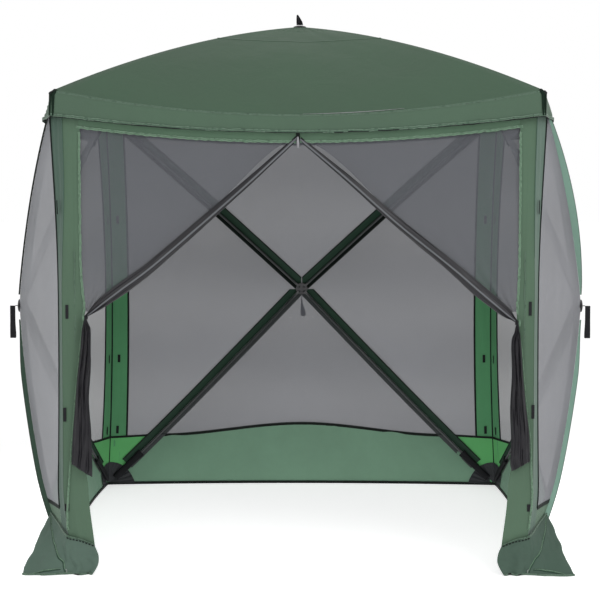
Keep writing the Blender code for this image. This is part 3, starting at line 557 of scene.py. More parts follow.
def tidy(faces, p):
    """Faces without corners that coincide."""
    flat = np.round(np.asarray(p).reshape(-1, 3), 6)
    _, first = np.unique(flat, axis=0, return_inverse=True)
    first = first.reshape(-1)
    out = []
    for f in faces:
        seen, kept = set(), []
        for i in f:
            if first[i] not in seen:
                seen.add(first[i])
                kept.append(i)
        if len(kept) > 2:
            out.append(tuple(kept))
    return out


def cloth_sheet(name, p, mat, normals=None, uvs=None):
    p = np.asarray(p, float)
    rows, cols = p.shape[:2]
    return make(name, p.reshape(-1, 3), tidy(grid_faces(rows, cols), p), mat, grid_uv(p) if uvs is None else uvs, normals=normals)


def area_of(obj):
    return sum(f.area for f in obj.data.polygons)


def declare(obj, flat, layers=1):
    """Works out the cut size of a cloth piece: its own area, in a rectangle flat wide and long. The result is not kept.
    """
    area = area_of(obj) / layers
    w, l = flat
    k = area / (w * l)
    if k > 1.0:
        w, l = w * math.sqrt(k), l * math.sqrt(k)


def catmull(points, x):
    """A smooth curve through points, x from 0 to 1."""
    n = len(points)
    f = x * (n - 1)
    i = min(int(f), n - 2)
    t = f - i
    p1, p2 = points[i], points[i + 1]
    p0 = points[i - 1] if i > 0 else 2 * p1 - p2
    p3 = points[i + 2] if i + 2 < n else 2 * p2 - p1
    return 0.5 * ((2 * p1) + (-p0 + p2) * t + (2 * p0 - 5 * p1 + 4 * p2 - p3) * t * t + (-p0 + 3 * p1 - 3 * p2 + p3) * t ** 3)


def frames(path, hint):
    """Tangents and cross directions along a path, with the side kept near hint."""
    path = [np.asarray(p, float) for p in path]
    out = []
    for i, p in enumerate(path):
        t = unit(path[min(i + 1, len(path) - 1)] - path[max(i - 1, 0)])
        h = hint[i] if isinstance(hint, list) else hint
        n = unit(np.asarray(h, float) - t * np.dot(h, t))
        out.append((p, t, n, np.cross(t, n)))
    return out


def strip(name, path, normal, width, mat, thick=0.0012, lift=0.0, crown_h=0.0, closed=False, across=5):
    """A flat tape along a path. normal is the direction it faces, one or one per point. It has two faces and edges."""
    fr = frames(path, normal)
    widths = width if isinstance(width, list) else [width] * len(fr)
    points, uvs = [], []
    length = 0.0
    cols = []
    for k in range(across):
        a = -1 + 2 * k / (across - 1)
        cols.append((a, thick / 2 + crown_h * (1 - a * a), a))
    for k in range(across):
        a = 1 - 2 * k / (across - 1)
        cols.append((a, -thick / 2 + crown_h * (1 - a * a), a))
    n = len(cols)
    for i, (p, t, nn, s) in enumerate(fr):
        if i:
            length += float(np.linalg.norm(p - fr[i - 1][0]))
        for a, h, v in cols:
            points.append(p + s * a * widths[i] / 2 + nn * (h + lift))
            uvs.append((length, v))
    faces = grid_faces(len(fr), n, closed_c=True, closed_r=closed)
    if not closed:
        faces += [tuple(range(n))[::-1], tuple(range((len(fr) - 1) * n, len(fr) * n))]
    obj = make(name, points, faces, mat, uvs)
    obj.data.set_sharp_from_angle(angle=math.radians(50))
    return obj


def tube(name, path, radius, mat, sides=10, closed=False, hint=(0.31, 0.22, 0.92)):
    path = [np.asarray(p, float) for p in path]
    radii = radius if isinstance(radius, (list, np.ndarray)) else [radius] * len(path)
    n = len(path)
    points, uvs = [], []
    side = None
    length = 0.0
    for i, p in enumerate(path):
        if closed:
            t = unit(path[(i + 1) % n] - path[i - 1])
        else:
            t = unit(path[min(i + 1, n - 1)] - path[max(i - 1, 0)])
        if side is None:
            side = unit(np.cross(t, hint))
        side = unit(side - t * np.dot(side, t))
        up = np.cross(t, side)
        if i:
            length += float(np.linalg.norm(p - path[i - 1]))
        for k in range(sides):
            a = 2 * math.pi * k / sides
            points.append(p + radii[i] * (math.cos(a) * side + math.sin(a) * up))
            uvs.append((length, a * radii[i]))
    faces = grid_faces(n, sides, closed_c=True, closed_r=closed)
    if not closed:
        faces += [tuple(range(sides))[::-1], tuple(range((n - 1) * sides, n * sides))]
    return make(name, points, faces, mat, uvs)


def join(name, objs):
    """One mesh out of several, keeping their materials."""
    points, faces, uvs, mats, which = [], [], [], [], []
    sharp = []
    for o in objs:
        base = len(points)
        points += [tuple(v.co) for v in o.data.vertices]
        slot = []
        for m in o.data.materials:
            if m not in mats:
                mats.append(m)
            slot.append(mats.index(m))
        layer = o.data.uv_layers[0].data if o.data.uv_layers else None
        for f in o.data.polygons:
            faces.append(tuple(base + i for i in f.vertices))
            which.append(slot[f.material_index])
            uvs += [tuple(layer[l].uv) if layer else (0.0, 0.0) for l in f.loop_indices]
    mesh = bpy.data.meshes.new(name)
    mesh.from_pydata(points, [], faces)
    layer = mesh.uv_layers.new(name="UVMap")
    layer.data.foreach_set("uv", np.asarray(uvs, np.float32).ravel())
    for m in mats:
        mesh.materials.append(m)
    mesh.polygons.foreach_set("material_index", np.asarray(which, np.int32))
    mesh.shade_smooth()
    mesh.set_sharp_from_angle(angle=math.radians(50))
    made = bpy.data.objects.new(name, mesh)
    scene.collection.objects.link(made)
    for o in objs:
        old = o.data
        bpy.data.objects.remove(o)
        bpy.data.meshes.remove(old)
    return made


def blend(obj, edge, hub):
    """Bakes the transform of a cloth piece between a fixed edge and a hub into its mesh; edge and hub are not used."""
    edge, hub = np.asarray(edge, float) + SHIFT, np.asarray(hub, float) + SHIFT
    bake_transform(obj)


RING_OUT, RING_MID, RING_IN = (0.0, 0.8244), (-0.18, 1.18), (0.3817, 1.0)
T_IN, T_MID = 0.15, 0.723  # where the rings of a wall meet, from 0 at its hub to 1 at its edge

# ---------------------------------------------------------------- walls: netting and lower bands
GUSSETS = {
    "left": {"a": "front", "b": "back", "top": "top", "bottom": "bottom"},
    "right": {"a": "front", "b": "back", "top": "top", "bottom": "bottom"},
    "back": {"a": "left", "b": "right", "top": "top", "bottom": "bottom"},
}


def polar(g, t, c):
    """(u, z) of a point of a gusset."""
    if g == "bottom":
        return c * min(t, STRIP_U), HUB_Z * (1 - t)
    if g == "top":
        return c * min(t, STRIP_U), HUB_Z + (wall_top(c) - HUB_Z) * t
    reach = (wall_top(1) - HUB_Z) if c >= 0 else HUB_Z
    return (-t if g == "a" else t), HUB_Z + c * reach * t


def band_t(c):
    t = 0.72
    for _ in range(8):
        t = 1 - band_top(c * t) / HUB_Z
    return t


def side_t(c):
    """Where a side gusset's netting ends."""
    if c < 0:
        return min(STRIP_U, (HUB_Z - BAND_END) / (abs(c) * HUB_Z))
    return STRIP_U


def net_wave(which, u, z):
    """Soft unevenness of the netting, nothing at the pole lines and edges."""
    t, c, edge = ray(u, z)
    free = max(1 - c * c, 0) * 4 * max(t * (1 - t), 0)
    seed = {"left": 1.0, "right": 7.0, "back": 13.0}[which]
    folds = 0.0018 * math.sin(30 * c + 4 * fbm(u * 2, z * 2, seed)) * t
    return free * (0.006 * fbm(u * 2.6, z * 2.6, seed) + folds)


def wall_sheet(name, which, g, c_list, t_of, rows, mat, wave=net_wave, inside=0.0012):
    grid = []
    for r in range(rows):
        row = []
        for c in c_list:
            low, high = t_of(c)
            t = low + (high - low) * r / (rows - 1)
            u, z = polar(g, t, c)
            row.append(wall(which, u, z, inside - wave(which, u, z)))
        grid.append(row)
    return cloth_sheet(name, grid, mat)


def wall_blend(obj, which, g):
    hub, out = crown(which)
    if g in ("bottom", "top"):
        edge = np.array([hub[0], hub[1], 0.0 if g == "bottom" else wall_top(1)])
    elif which == "back":
        edge = np.array([-0.893 if g == "a" else 0.893, hub[1], HUB_Z])
    else:
        edge = np.array([hub[0], -0.906 if g == "a" else 0.902, HUB_Z])
    blend(obj, edge, hub)


def spaced(n, a=-1.0, b=1.0):
    return [a + (b - a) * k / (n - 1) for k in range(n)]


def level(g, c):
    """Share that keeps a ring of a top gusset on one height."""
    return (wall_top(1) - HUB_Z) / (wall_top(c) - HUB_Z) if g == "top" else 1.0


CORNER_C = (HUB_Z - BAND_END) / (STRIP_U * HUB_Z)
for which in WALLS:
    hub_at, out = crown(which)
    # the right and back walls take the darker copies of the netting, painted shade
    net = {"left": NET, "right": NET_RIGHT_SHADED, "back": NET_BACK_SHADED}[which]
    for g in ("bottom", "top", "a", "b"):
        label = GUSSETS[which][g]
        side = g in ("a", "b")
        if side:
            cs = sorted(set(spaced(25)) | {-CORNER_C})
        else:
            cs = spaced(31)
        inner = wall_sheet("%s_netting_%s_inner" % (which, label), which, g, spaced(9), lambda c: (0.020, T_IN * level(g, c)), 5, net)
        wall_blend(inner, which, g)
        if g == "bottom":
            mid = wall_sheet("%s_netting_%s_middle" % (which, label), which, g, cs, lambda c: (T_IN, band_t(c)), 20, net)
        else:
            mid = wall_sheet("%s_netting_%s_middle" % (which, label), which, g, cs, lambda c: (T_IN * level(g, c), T_MID * level(g, c)), 20, net)
        wall_blend(mid, which, g)
        declare(inner, (0.28, 0.15))
        declare(mid, (1.36, 0.62))
        if g == "top":
            outer = wall_sheet("%s_netting_%s_outer" % (which, label), which, g, cs, lambda c: (T_MID * level(g, c), 1.0), 10, net)
            wall_blend(outer, which, g)
            declare(outer, (1.70, 0.26))
        if side:
            outer = wall_sheet("%s_netting_%s_outer" % (which, label), which, g, cs, lambda c: (T_MID, side_t(c)), 8, net)
            wall_blend(outer, which, g)
            declare(outer, (1.50, 0.20))
            low_c = spaced(8, -1.0, -CORNER_C)
            # the back wall's corner bits and the side walls' back corner bits take the brightened band cloth, partly
            # painted light
            bit = wall_sheet("%s_band_%s_corner" % (which, label), which, g, low_c, lambda c: (side_t(c), STRIP_U), 8, CORNER_GREEN if which != "back" and g == "a" else BAND_GREEN_LIT)
            wall_blend(bit, which, g)
            declare(bit, (0.16, 0.16))
    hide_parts(which + "_netting_wall")

    def band_wave(which, u, z):
        seed = {"left": 3.0, "right": 9.0, "back": 15.0}[which]
        return (0.004 * fbm(u * 5, z * 4, seed) + 0.0012 * math.sin(60 * u + 3 * fbm(u * 3, z * 3, seed)) * (1 - z / 0.28)) * smooth(0.008, 0.07, z)

    # the band is drawn in the brightened band cloth, partly painted light
    band = wall_sheet(which + "_lower_band_cloth", which, "bottom", spaced(91), lambda c: (band_t(c), 0.999), 12, BAND_GREEN_LIT, wave=band_wave)
    wall_blend(band, which, "bottom")
    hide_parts(which + "_lower_band")
    declare(band, (1.72, 0.30))
    # black binding along the band's top, on both faces, and along its foot
    for label, lift in (("outer", 0.0004), ("inner", -0.0030)):
        for part, us in (("middle", spaced(41, -0.753, 0.753)),):
            path = [wall(which, u, band_top(u), -lift) for u in us]
            tape = strip("%s_band_binding_%s" % (which, label), path, out, 0.013, BINDING_AND_SHADOW, thick=0.0010)
            wall_blend(tape, which, "bottom")
    for g, s in (("a", -1), ("b", 1)):
        path = [wall(which, s * u, BAND_END, -0.0004) for u in spaced(6, 0.750, STRIP_U)]
        tape = strip("%s_band_binding_%s" % (which, GUSSETS[which][g]), path, out, 0.013, BINDING_AND_SHADOW, thick=0.0016)
        wall_blend(tape, which, g)
    path = [wall(which, u, 0.0065, 0.0008) for u in spaced(61, -0.998, 0.998)]
    tape = strip(which + "_hem_binding", path, out, 0.0125, BINDING_AND_SHADOW, thick=0.0060)
    wall_blend(tape, which, "bottom")

# ---------------------------------------------------------------- sleeves along the poles
ARMS = {
    "left": {(-1, -1): "front_lower", (1, -1): "back_lower", (1, 1): "back_upper", (-1, 1): "front_upper"},
    "right": {(-1, -1): "front_lower", (1, -1): "back_lower", (1, 1): "back_upper", (-1, 1): "front_upper"},
    "back": {(-1, -1): "left_lower", (1, -1): "right_lower", (1, 1): "right_upper", (-1, 1): "left_upper"},
    "roof": {(-1, -1): "front_left", (1, -1): "front_right", (1, 1): "back_right", (-1, 1): "back_left"},
}


def out_of(which):
    return WALLS[which][2]


def across_arm(which, key, k, d, inset):
    """A point on the inner face of the cloth, d above the line of a pole."""
    if which == "roof":
        start = {(-1, -1): 0, (1, -1): 1, (1, 1): 2, (-1, 1): 3}[key]
        step = abs(d) * math.sqrt(2) / (DEPTH / 2 * max(k, 0.02))
        side, c = (start, -1 + step) if d >= 0 else ((start - 1) % 4, 1 - step)
        return roof(side, c, k * (1 + step / 2), inset)
    half = DEPTH / 2 if which != "back" else 0.893
    reach = (wall_top(1) - HUB_Z) if key[1] > 0 else -HUB_Z
    a = unit((key[0] * half, reach))
    n = np.array([-a[1], a[0]]) * (1 if a[0] > 0 else -1)
    u = key[0] * k * half + d * n[0]
    return wall(which, u / half, HUB_Z + reach * k + d * n[1], inset)


def arm_sleeve(which, key, low, high, k0, k1, inset, mat, across=5, puff=0.0, thick=0.0014, mitre=False):
    """A band of cloth along a pole. k0 is where it starts, and it is mitred there against its neighbours."""
    out = crown(which)[1]
    outer = []
    for share in spaced(max(5, int(40 * (k1 - k0))), 0.0, 1.0):
        row = []
        for j in range(across):
            w = j / (across - 1)
            d = low + (high - low) * w
            start = k0 + abs(d) * (0.70 if which != "roof" else 1.0) * mitre
            row.append(across_arm(which, key, start + (k1 - start) * share, d, inset + puff * math.sin(math.pi * w)))
        outer.append(row + [p - out * thick for p in reversed(row)])
    n = 2 * across
    points = [p for row in outer for p in row]
    lengths = np.concatenate([[0.0], np.cumsum([np.linalg.norm(outer[i + 1][0] - outer[i][0]) for i in range(len(outer) - 1)])])
    uvs = [(lengths[i], (-1 + 2 * (j if j < across else n - 1 - j) / (across - 1)) * (1.0 if mat is BINDING_AND_SHADOW else 0.016)) for i in range(len(outer)) for j in range(n)]
    faces = grid_faces(len(outer), n, closed_c=True) + [tuple(range(n))[::-1], tuple(range((len(outer) - 1) * n, len(outer) * n))]
    return make("s", points, faces, mat, uvs)


def roof_line(side):
    """Foot, in plan, of the line from the crown square to an eave."""
    a, b, n2 = SIDES[side]
    pa, pb = corner(a, CORNER_Z), corner(b, CORNER_Z)
    line = unit(np.array([pb[0] - pa[0], pb[1] - pa[1], 0]))
    normal = np.array([line[1], -line[0], 0])
    if np.dot(normal, [n2[0], n2[1], 0]) < 0:
        normal = -normal
    return normal * float(np.dot(normal, pa))


def fin_height(which, key, k):
    if which != "back" and key == (-1, 1):
        return 0.0065 if which == "left" else 0.004 + 0.024 * math.sin(math.pi * min(max((k - 0.06) / 0.87, 0), 1)) ** 0.8
    full = 0.018 if which != "back" and key[0] < 0 else 0.010
    return full * (0.25 + 0.75 * smooth(0.06, 0.30, k)) * (1 - 0.6 * smooth(0.80, 0.93, k))


# every sleeve is cut where the rings of the cloth meet
for which, arms in ARMS.items():
    for key, label in arms.items():
        on_roof = which == "roof"
        k_end = 0.90 if not on_roof else 0.94
        low, high = (0.0050, 0.0385) if not on_roof else (-0.0165, 0.0165)
        # the lower arms' lower edge is a pale line of painted highlight; the other edges are black binding
        lower_edge = POLE_HIGHLIGHT_LINE if not on_roof and key[1] < 0 else BINDING_AND_SHADOW
        for ring_name, k0, k1, ring in (("inner", 0.004 if not on_roof else 0.030, T_IN, RING_IN), ("middle", T_IN, T_MID, RING_MID), ("outer", T_MID, k_end, RING_OUT)):
            mitre = ring_name == "inner"
            name = "%s_pole_%s_sleeve_%s" % (which, label, ring_name)
            above = [
                arm_sleeve(which, key, low, high, k0, k1, 0.0040, SLEEVE_AND_SHADE, puff=0.0012, mitre=mitre),
                arm_sleeve(which, key, low - 0.0014, low + 0.0012, k0, k1, 0.0036, lower_edge, across=3, thick=0.0034, mitre=mitre),
                arm_sleeve(which, key, high - 0.0024, high + 0.0024, k0, k1, 0.0036, BINDING_AND_SHADOW, across=3, thick=0.0030, mitre=mitre),
            ]
            if on_roof:
                above.append(arm_sleeve(which, key, low - 0.0024, low + 0.0024, k0, k1, 0.0036, BINDING_AND_SHADOW, across=3, thick=0.0030, mitre=mitre))
                side = {(-1, -1): 0, (1, -1): 1, (1, 1): 2, (-1, 1): 3}[key]
                blend(join(name, above), roof_line(side), np.array([0, 0, 0]))
                continue
            side_gusset = "a" if key[0] < 0 else "b"
            wall_blend(join(name, above), which, "top" if key[1] > 0 else side_gusset)
            # the seam allowance under the pole, and the joined edge that stands out along the outside
            below = [arm_sleeve(which, key, -0.0220, -0.0030, k0, k1, 0.0036, BINDING_AND_SHADOW if key[1] > 0 else SEAM_GREY, across=4, thick=0.0010, mitre=mitre)]
            ks = spaced(15, max(k0, 0.06), min(k1, 0.93))
            heights = [fin_height(which, key, k) for k in ks]
            path = [ridge(which, *key, k, 0.0) + out_of(which) * (h / 2 - 0.0008) for k, h in zip(ks, heights)]
            hints = [np.cross(unit(path[min(i + 1, len(path) - 1)] - path[max(i - 1, 0)]), out_of(which)) for i in range(len(path))]
            # the fin by the right wall's front pole takes the lighter copy of the seam cloth, painted light, with a
            # dark rim
            pale = which == "right" and key[0] < 0
            thin = which == "left" and key == (-1, 1)
            below.append(strip("f", path, hints, heights, FIN_LIT if pale else (BINDING_AND_SHADOW if thin else FIN_DARK), thick=0.0024))
            if not thin:
                rim = [p + out_of(which) * (h / 2) for p, h in zip(path, heights)]
                below.append(tube("r", rim, 0.0016, BINDING_AND_SHADOW if not pale else FIN_DARK, sides=6))
            wall_blend(join(name.replace("sleeve", "seam"), below), which, "bottom" if key[1] < 0 else side_gusset)

# ---------------------------------------------------------------- corner posts
POST_ROWS = 62


def post_wave(seed, a, z):
    return 0.0035 * fbm(a * 9 + seed, z * 3.1, seed) + 0.0016 * math.sin(z * 17 + seed) * a


def seam_in(side_name, z):
    """How far the front corner seam draws in under the eave."""
    return (0.021 if side_name == "left" else 0.011) * smooth(1.0, 1.5, z)


def post_side(name, which, g, seed, mat, low=0.088, high=1.735, front=False):
    s = -1 if g == "a" else 1
    grid = []
    for r in range(POST_ROWS):
        z = low + (high - low) * r / (POST_ROWS - 1)
        row = []
        for k in range(9):
            u = STRIP_U + (1 - STRIP_U) * k / 8
            free = math.sin(math.pi * k / 8)
            p = wall(which, s * u, z, 0.0012 - free * post_wave(seed, k / 8, z))
            if front:
                p = p - WALLS[which][2] * seam_in(which, z) * k / 8
            row.append(p)
        grid.append(row)
    obj = cloth_sheet(name, grid, mat)
    wall_blend(obj, which, g)
    declare(obj, (0.080, high - low))
    return obj


def post_inner(s, z):
    """Distance of the inner edge of a front post from the middle plane."""
    top = 0.783 if s < 0 else 0.796
    tie = 0.771 if s < 0 else 0.790
    low = front_half(z) - front_face(z)
    a = tie + (top - tie) * smooth(0.95, 1.15, z)
    return low + (a - low) * smooth(0.80, 0.95, z)


for side_name, s, key in (("left", -1, "fl"), ("right", 1, "fr")):
    out = WALLS[side_name][2]
    # the left post's side takes the darker copy, painted shade; the right post's side takes the lighter copy, painted
    # light
    side_obj = post_side("front_%s_post_side" % side_name, side_name, "a", 2.0 + s, POST_SIDE_SHADE_GREEN if s < 0 else POST_SIDE_LIT_GREEN, front=True)
    grid = []
    for r in range(POST_ROWS):
        z = 0.088 + (1.735 - 0.088) * r / (POST_ROWS - 1)
        c = corner(key, z)
        inner = post_inner(s, z)
        c[0] -= s * seam_in(side_name, z)
        row = []
        for k in range(11):
            w = k / 10
            p = np.array([c[0] * (1 - w) + s * inner * w, c[1] + 0.0012, z])
            tuck = 1 - (p[0] / (FRONT_W_TOP / 2)) ** 2
            p[1] += EAVE_TUCK * max(tuck, 0) * smooth(1.45, 1.70, z)
            free = math.sin(math.pi * w)
            p[1] -= free * (0.004 * fbm(w * 3 + s, z * 2.6, 4.0 + s) + 0.0015)
            row.append(p)
        grid.append(row)
    front_obj = cloth_sheet("front_%s_post_face" % side_name, grid, LIGHT)
    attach(front_obj, "shelter")
    declare(front_obj, (0.080, 1.65))
    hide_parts("front_%s_post" % side_name)
    # the ruffled hem on the inner edge of the post, and the seam on its corner
    path = []
    for z in spaced(120, 0.945, 1.600):
        x = post_inner(s, z) + 0.0018 * fbm(z * 22, s, 1.0) + 0.0010 * math.sin(z * 260)
        tuck = max(1 - (x / (FRONT_W_TOP / 2)) ** 2, 0) * smooth(1.45, 1.70, z)
        path.append(np.array([s * (x + 0.002), corner(key, z)[1] - 0.0012 + EAVE_TUCK * tuck, z]))
    tape = strip("front_%s_post_hem" % side_name, path, (0, -1, 0), 0.0085, DOOR_HEM_AND_HIGHLIGHT, thick=0.0024, crown_h=0.0008)
    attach(tape, "shelter")
    # the corner seam is drawn in the darker copy of the post-side cloth, painted shade
    path = [corner(key, z) + np.array([-s * seam_in(side_name, z), -0.0006, 0]) for z in spaced(50, 1.15, 1.72)]
    seam = tube("front_%s_post_seam" % side_name, path, [0.0006 + 0.0010 * smooth(1.15, 1.35, z) for z in spaced(50, 1.15, 1.72)], POST_SIDE_SHADE_GREEN, sides=8)
    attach(seam, "shelter")
    # the folded edge of the cloth that the tied curtain hangs in front of, drawn as a pale strip of painted highlight
    # along the fold
    fold = {-1: [(0.774, 0.925), (0.789, 0.815), (0.807, 0.634), (0.819, 0.488), (0.832, 0.341), (0.838, 0.249), (0.840, 0.157)], 1: [(0.790, 0.915), (0.808, 0.816), (0.824, 0.635), (0.842, 0.489), (0.848, 0.343), (0.853, 0.252), (0.852, 0.160)]}[s]
    path = []
    for k in range(60):
        w = k / 59 * (len(fold) - 1)
        i = min(int(w), len(fold) - 2)
        a, b = fold[i], fold[i + 1]
        x, z = a[0] + (b[0] - a[0]) * (w - i), a[1] + (b[1] - a[1]) * (w - i)
        path.append(np.array([s * min(x, front_half(z) - 0.002), corner(key, z)[1] - 0.0022 - 0.0015 * math.sin(math.pi * k / 59), z]))
    tape = strip("front_%s_post_fold" % side_name, path, unit((-s * 0.5, -1, 0)), 0.0075, DOOR_HEM_AND_HIGHLIGHT, thick=0.0026, crown_h=0.0010)
    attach(tape, "shelter")
    # stitches down the face
    path = [np.array([s * ((0.806 if s < 0 else 0.818) + 0.0012 * math.sin(z * 60)), corner(key, z)[1] - 0.0014, z]) for z in spaced(40, 0.84, 1.17)]
    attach(strip("front_%s_post_stitches" % side_name, path, (0, -1, 0), 0.0042, HEM, thick=0.0018), "shelter")

for side_name, s, key in (("left", -1, "bl"), ("right", 1, "br")):
    # the back posts take the brightened cloth, painted light
    a = post_side("back_%s_post_side" % side_name, side_name, "b", 6.0 + s, BACK_GREEN_LIT, low=0.004)
    b = post_side("back_%s_post_back" % side_name, "back", "a" if s < 0 else "b", 9.0 + s, BACK_GREEN_LIT, low=0.004)
    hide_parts("back_%s_post" % side_name)
    path = [corner(key, z) - 0.0004 * np.array([-s, -1, 0]) for z in spaced(60, 0.09, 1.72)]
    seam = tube("back_%s_post_seam" % side_name, path, 0.0058, BINDING_AND_SHADOW, sides=8)
    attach(seam, "shelter")

# bindings where the netting meets the posts
for which in WALLS:
    out = WALLS[which][2]
    for g, s in (("a", -1), ("b", 1)):
        path = [wall(which, s * STRIP_U, z, 0.0012) for z in spaced(50, BAND_END, 1.70)]
        tape = strip("%s_netting_binding_%s" % (which, GUSSETS[which][g]), path, out, 0.008, BINDING_AND_SHADOW, thick=0.0060)
        wall_blend(tape, which, g)

# ---------------------------------------------------------------- roof: one sheet sewn from four gores
def roof_wave(side, c, t):
    free = max(1 - c * c, 0)
    near_hub = 0.0022 * math.sin(math.pi * 10 * (c + 1) + side) * math.exp(-((t - 0.10) / 0.09) ** 2)
    soft = 0.0060 * fbm(c * 1.6 + side * 3, t * 2.2, 2.0) * free * 4 * t * (1 - t)
    edge = 0.0016 * fbm(c * 13 + side * 7, t * 3, 5.0) * smooth(0.75, 1.0, t) * free
    return near_hub * free + soft + edge


def roof_point(side, c, t):
    p = roof(side, c, t, 0.0)
    p[2] += roof_wave(side, c, t)
    return p


def roof_normal(side, c, t):
    h = 1e-3
    dc = roof_point(side, min(c + h, 1), t) - roof_point(side, max(c - h, -1), t)
    dt = roof_point(side, c, min(t + h, 1)) - roof_point(side, c, max(t - h, 0))
    n = unit(np.cross(dc, dt))
    n = n if n[2] > 0 else -n
    if abs(c) > 0.985:  # the two gores share a rounded ridge
        other = (side + (1 if c > 0 else -1)) % 4
        dc = roof_point(other, -math.copysign(1, c) + math.copysign(2 * h, c), t) - roof_point(other, -math.copysign(1, c), t)
        dt = roof_point(other, -math.copysign(1, c), min(t + h, 1)) - roof_point(other, -math.copysign(1, c), max(t - h, 0))
        m = unit(np.cross(dc, dt))
        m = m if m[2] > 0 else -m
        n = unit(n + m)
    return n


for side, label in enumerate(SIDE_NAMES):
    a, b, n2 = SIDES[side]
    pa, pb = corner(a, CORNER_Z), corner(b, CORNER_Z)
    line = unit(np.array([pb[0] - pa[0], pb[1] - pa[1], 0]))
    normal = np.array([line[1], -line[0], 0])
    if np.dot(normal, [n2[0], n2[1], 0]) < 0:
        normal = -normal
    edge = normal * float(np.dot(normal, pa))
    cs = sorted(set(spaced(45)) | {-0.992, 0.992})
    for ring_name, t0, t1, rows, ring in (("inner", 0.012, T_IN, 10, RING_IN), ("middle", T_IN, T_MID, 26, RING_MID), ("outer", T_MID, 1.0, 14, RING_OUT)):
        cc = cs if ring_name != "inner" else sorted(set(spaced(25)) | {-0.992, 0.992})
        grid, normals = [], []
        for r in range(rows):
            row = []
            for c in cc:
                level_c = float(np.dot(normal, pa) / np.dot(normal, eave(side, c)))
                a0, a1 = (v if v in (0.012, 1.0) else v * level_c for v in (t0, t1))
                t = a0 + (a1 - a0) * r / (rows - 1)
                row.append(roof_point(side, c, t))
                normals.append(roof_normal(side, c, t))
            grid.append(row)
        obj = cloth_sheet("canopy_%s_%s" % (label, ring_name), grid, GREEN, normals=normals)
        blend(obj, np.array([edge[0], edge[1], 0]), np.array([0, 0, 0]))
        declare(obj, {"inner": (0.30, 0.15), "middle": (1.36, 0.60), "outer": (1.80, 0.27)}[ring_name])
    # the seam of the reinforcement round the crown
    path = [roof_point(side, c, 0.365) + np.array([0, 0, 0.0008]) for c in spaced(41)]
    tape = strip("canopy_%s_crown_seam" % label, path, [roof_normal(side, c, 0.365) for c in spaced(41)], 0.0070, VAL_GREEN, thick=0.0012)
    blend(tape, np.array([edge[0], edge[1], 0]), np.array([0, 0, 0]))
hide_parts("canopy")

# ---------------------------------------------------------------- valance
VAL_CS = [math.copysign(1 - (1 - abs(c)) ** 1.12, c) for c in spaced(101)]


def valance_point(side, c, share, depth=0.0):
    """share runs from 0 at the eave seam to 1 at the hem."""
    drop = valance_drop(c)
    z = eave_z(c) - share * drop
    turn = smooth(0.0, 0.16, share)
    name = SIDE_NAMES[side]
    ripple = 0.0030 * fbm(c * 9 + side * 11, share * 1.5, 3.0) * smooth(0.1, 1.0, share)
    ripple += 0.0016 * math.sin(c * 55 + 6 * fbm(c * 4 + side, 0, 1.0)) * smooth(0.55, 1.0, share)
    ripple *= 1 - smooth(0.95, 1.0, abs(c))
    push = VALANCE_OUT * turn - depth
    if side == 0:
        p = eave(0, c, push + 0.004 * share + ripple)
    else:
        here = wall(name, c if side == 1 else -c, min(z, wall_top(c)))
        top = eave(side, c)
        n = WALLS[name][2]
        p = here + n * (push + ripple)
        if share < 0.16:
            p = p * turn + top * (1 - turn)
    # a rounded corner
    near = smooth(0.955, 1.0, abs(c))
    if near > 0:
        s2 = (side + (1 if c > 0 else -1)) % 4
        m = SIDES[s2][2]
        k = 1.0 if SIDES[s2][2][0] else 0.6
        p = p + np.array([m[0], m[1], 0]) * (VALANCE_OUT * turn + 0.003 * share) * near * k
    return np.array([p[0], p[1], z + (0.0015 * fbm(c * 20 + side * 5, 1.0, 2.0) if share > 0.9 else 0)])


rows = (0.0, 0.03, 0.07, 0.11, 0.16, 0.25, 0.38, 0.52, 0.66, 0.78, 0.86, 0.93, 1.0)
grid = []
for w in rows:
    ring_points = []
    for side in range(4):
        ring_points += [valance_point(side, c, w) for c in VAL_CS[:-1]]
    ring_points.append(ring_points[0])
    grid.append(ring_points)
valance = cloth_sheet("valance_cloth", grid, VAL_GREEN)
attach(valance, "shelter")
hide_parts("valance")
declare(valance, (7.15, 0.092))
# the edge tape is a black line of painted shadow under the valance's lower edge; the hem and seam tapes are stitched
# cloth
for label, share, width in (("hem", 0.935, 0.0110), ("edge", 1.0, 0.0042), ("seam", 0.075, 0.0060)):
    path, normals = [], []
    for side in range(4):
        n = np.array([SIDES[side][2][0], SIDES[side][2][1], 0.0])
        for c in VAL_CS[:-1]:
            ruffle = (0.0016 * math.sin(c * 230 + 5 * fbm(c * 12, side, 2.0)) + 0.0012 * fbm(c * 60, side, 5.0)) * (1 - smooth(0.95, 1.0, abs(c)))
            path.append(valance_point(side, c, share) + n * (abs(ruffle) + 0.0004) + np.array([0, 0, ruffle * (0.8 if label == "hem" else 0.3)]))
            m = np.array([SIDES[(side + (1 if c > 0 else -1)) % 4][2][0], SIDES[(side + (1 if c > 0 else -1)) % 4][2][1], 0.0])
            k = smooth(0.94, 1.0, abs(c))
            normals.append(unit(n + m * k + (np.array([0, 0, 0.6]) if label == "seam" else 0)))
    path.append(path[0])
    normals.append(normals[0])
    if label == "edge":
        width = [width * (0.45 + 0.55 * smooth(-0.15, 0.25, fbm(k * 0.11, 1.0, 6.0))) for k in range(len(path))]
    tape = strip("valance_" + label, path, normals, width, HEM if label != "edge" else BINDING_AND_SHADOW, thick=0.0024, across=4)
    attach(tape, "shelter")

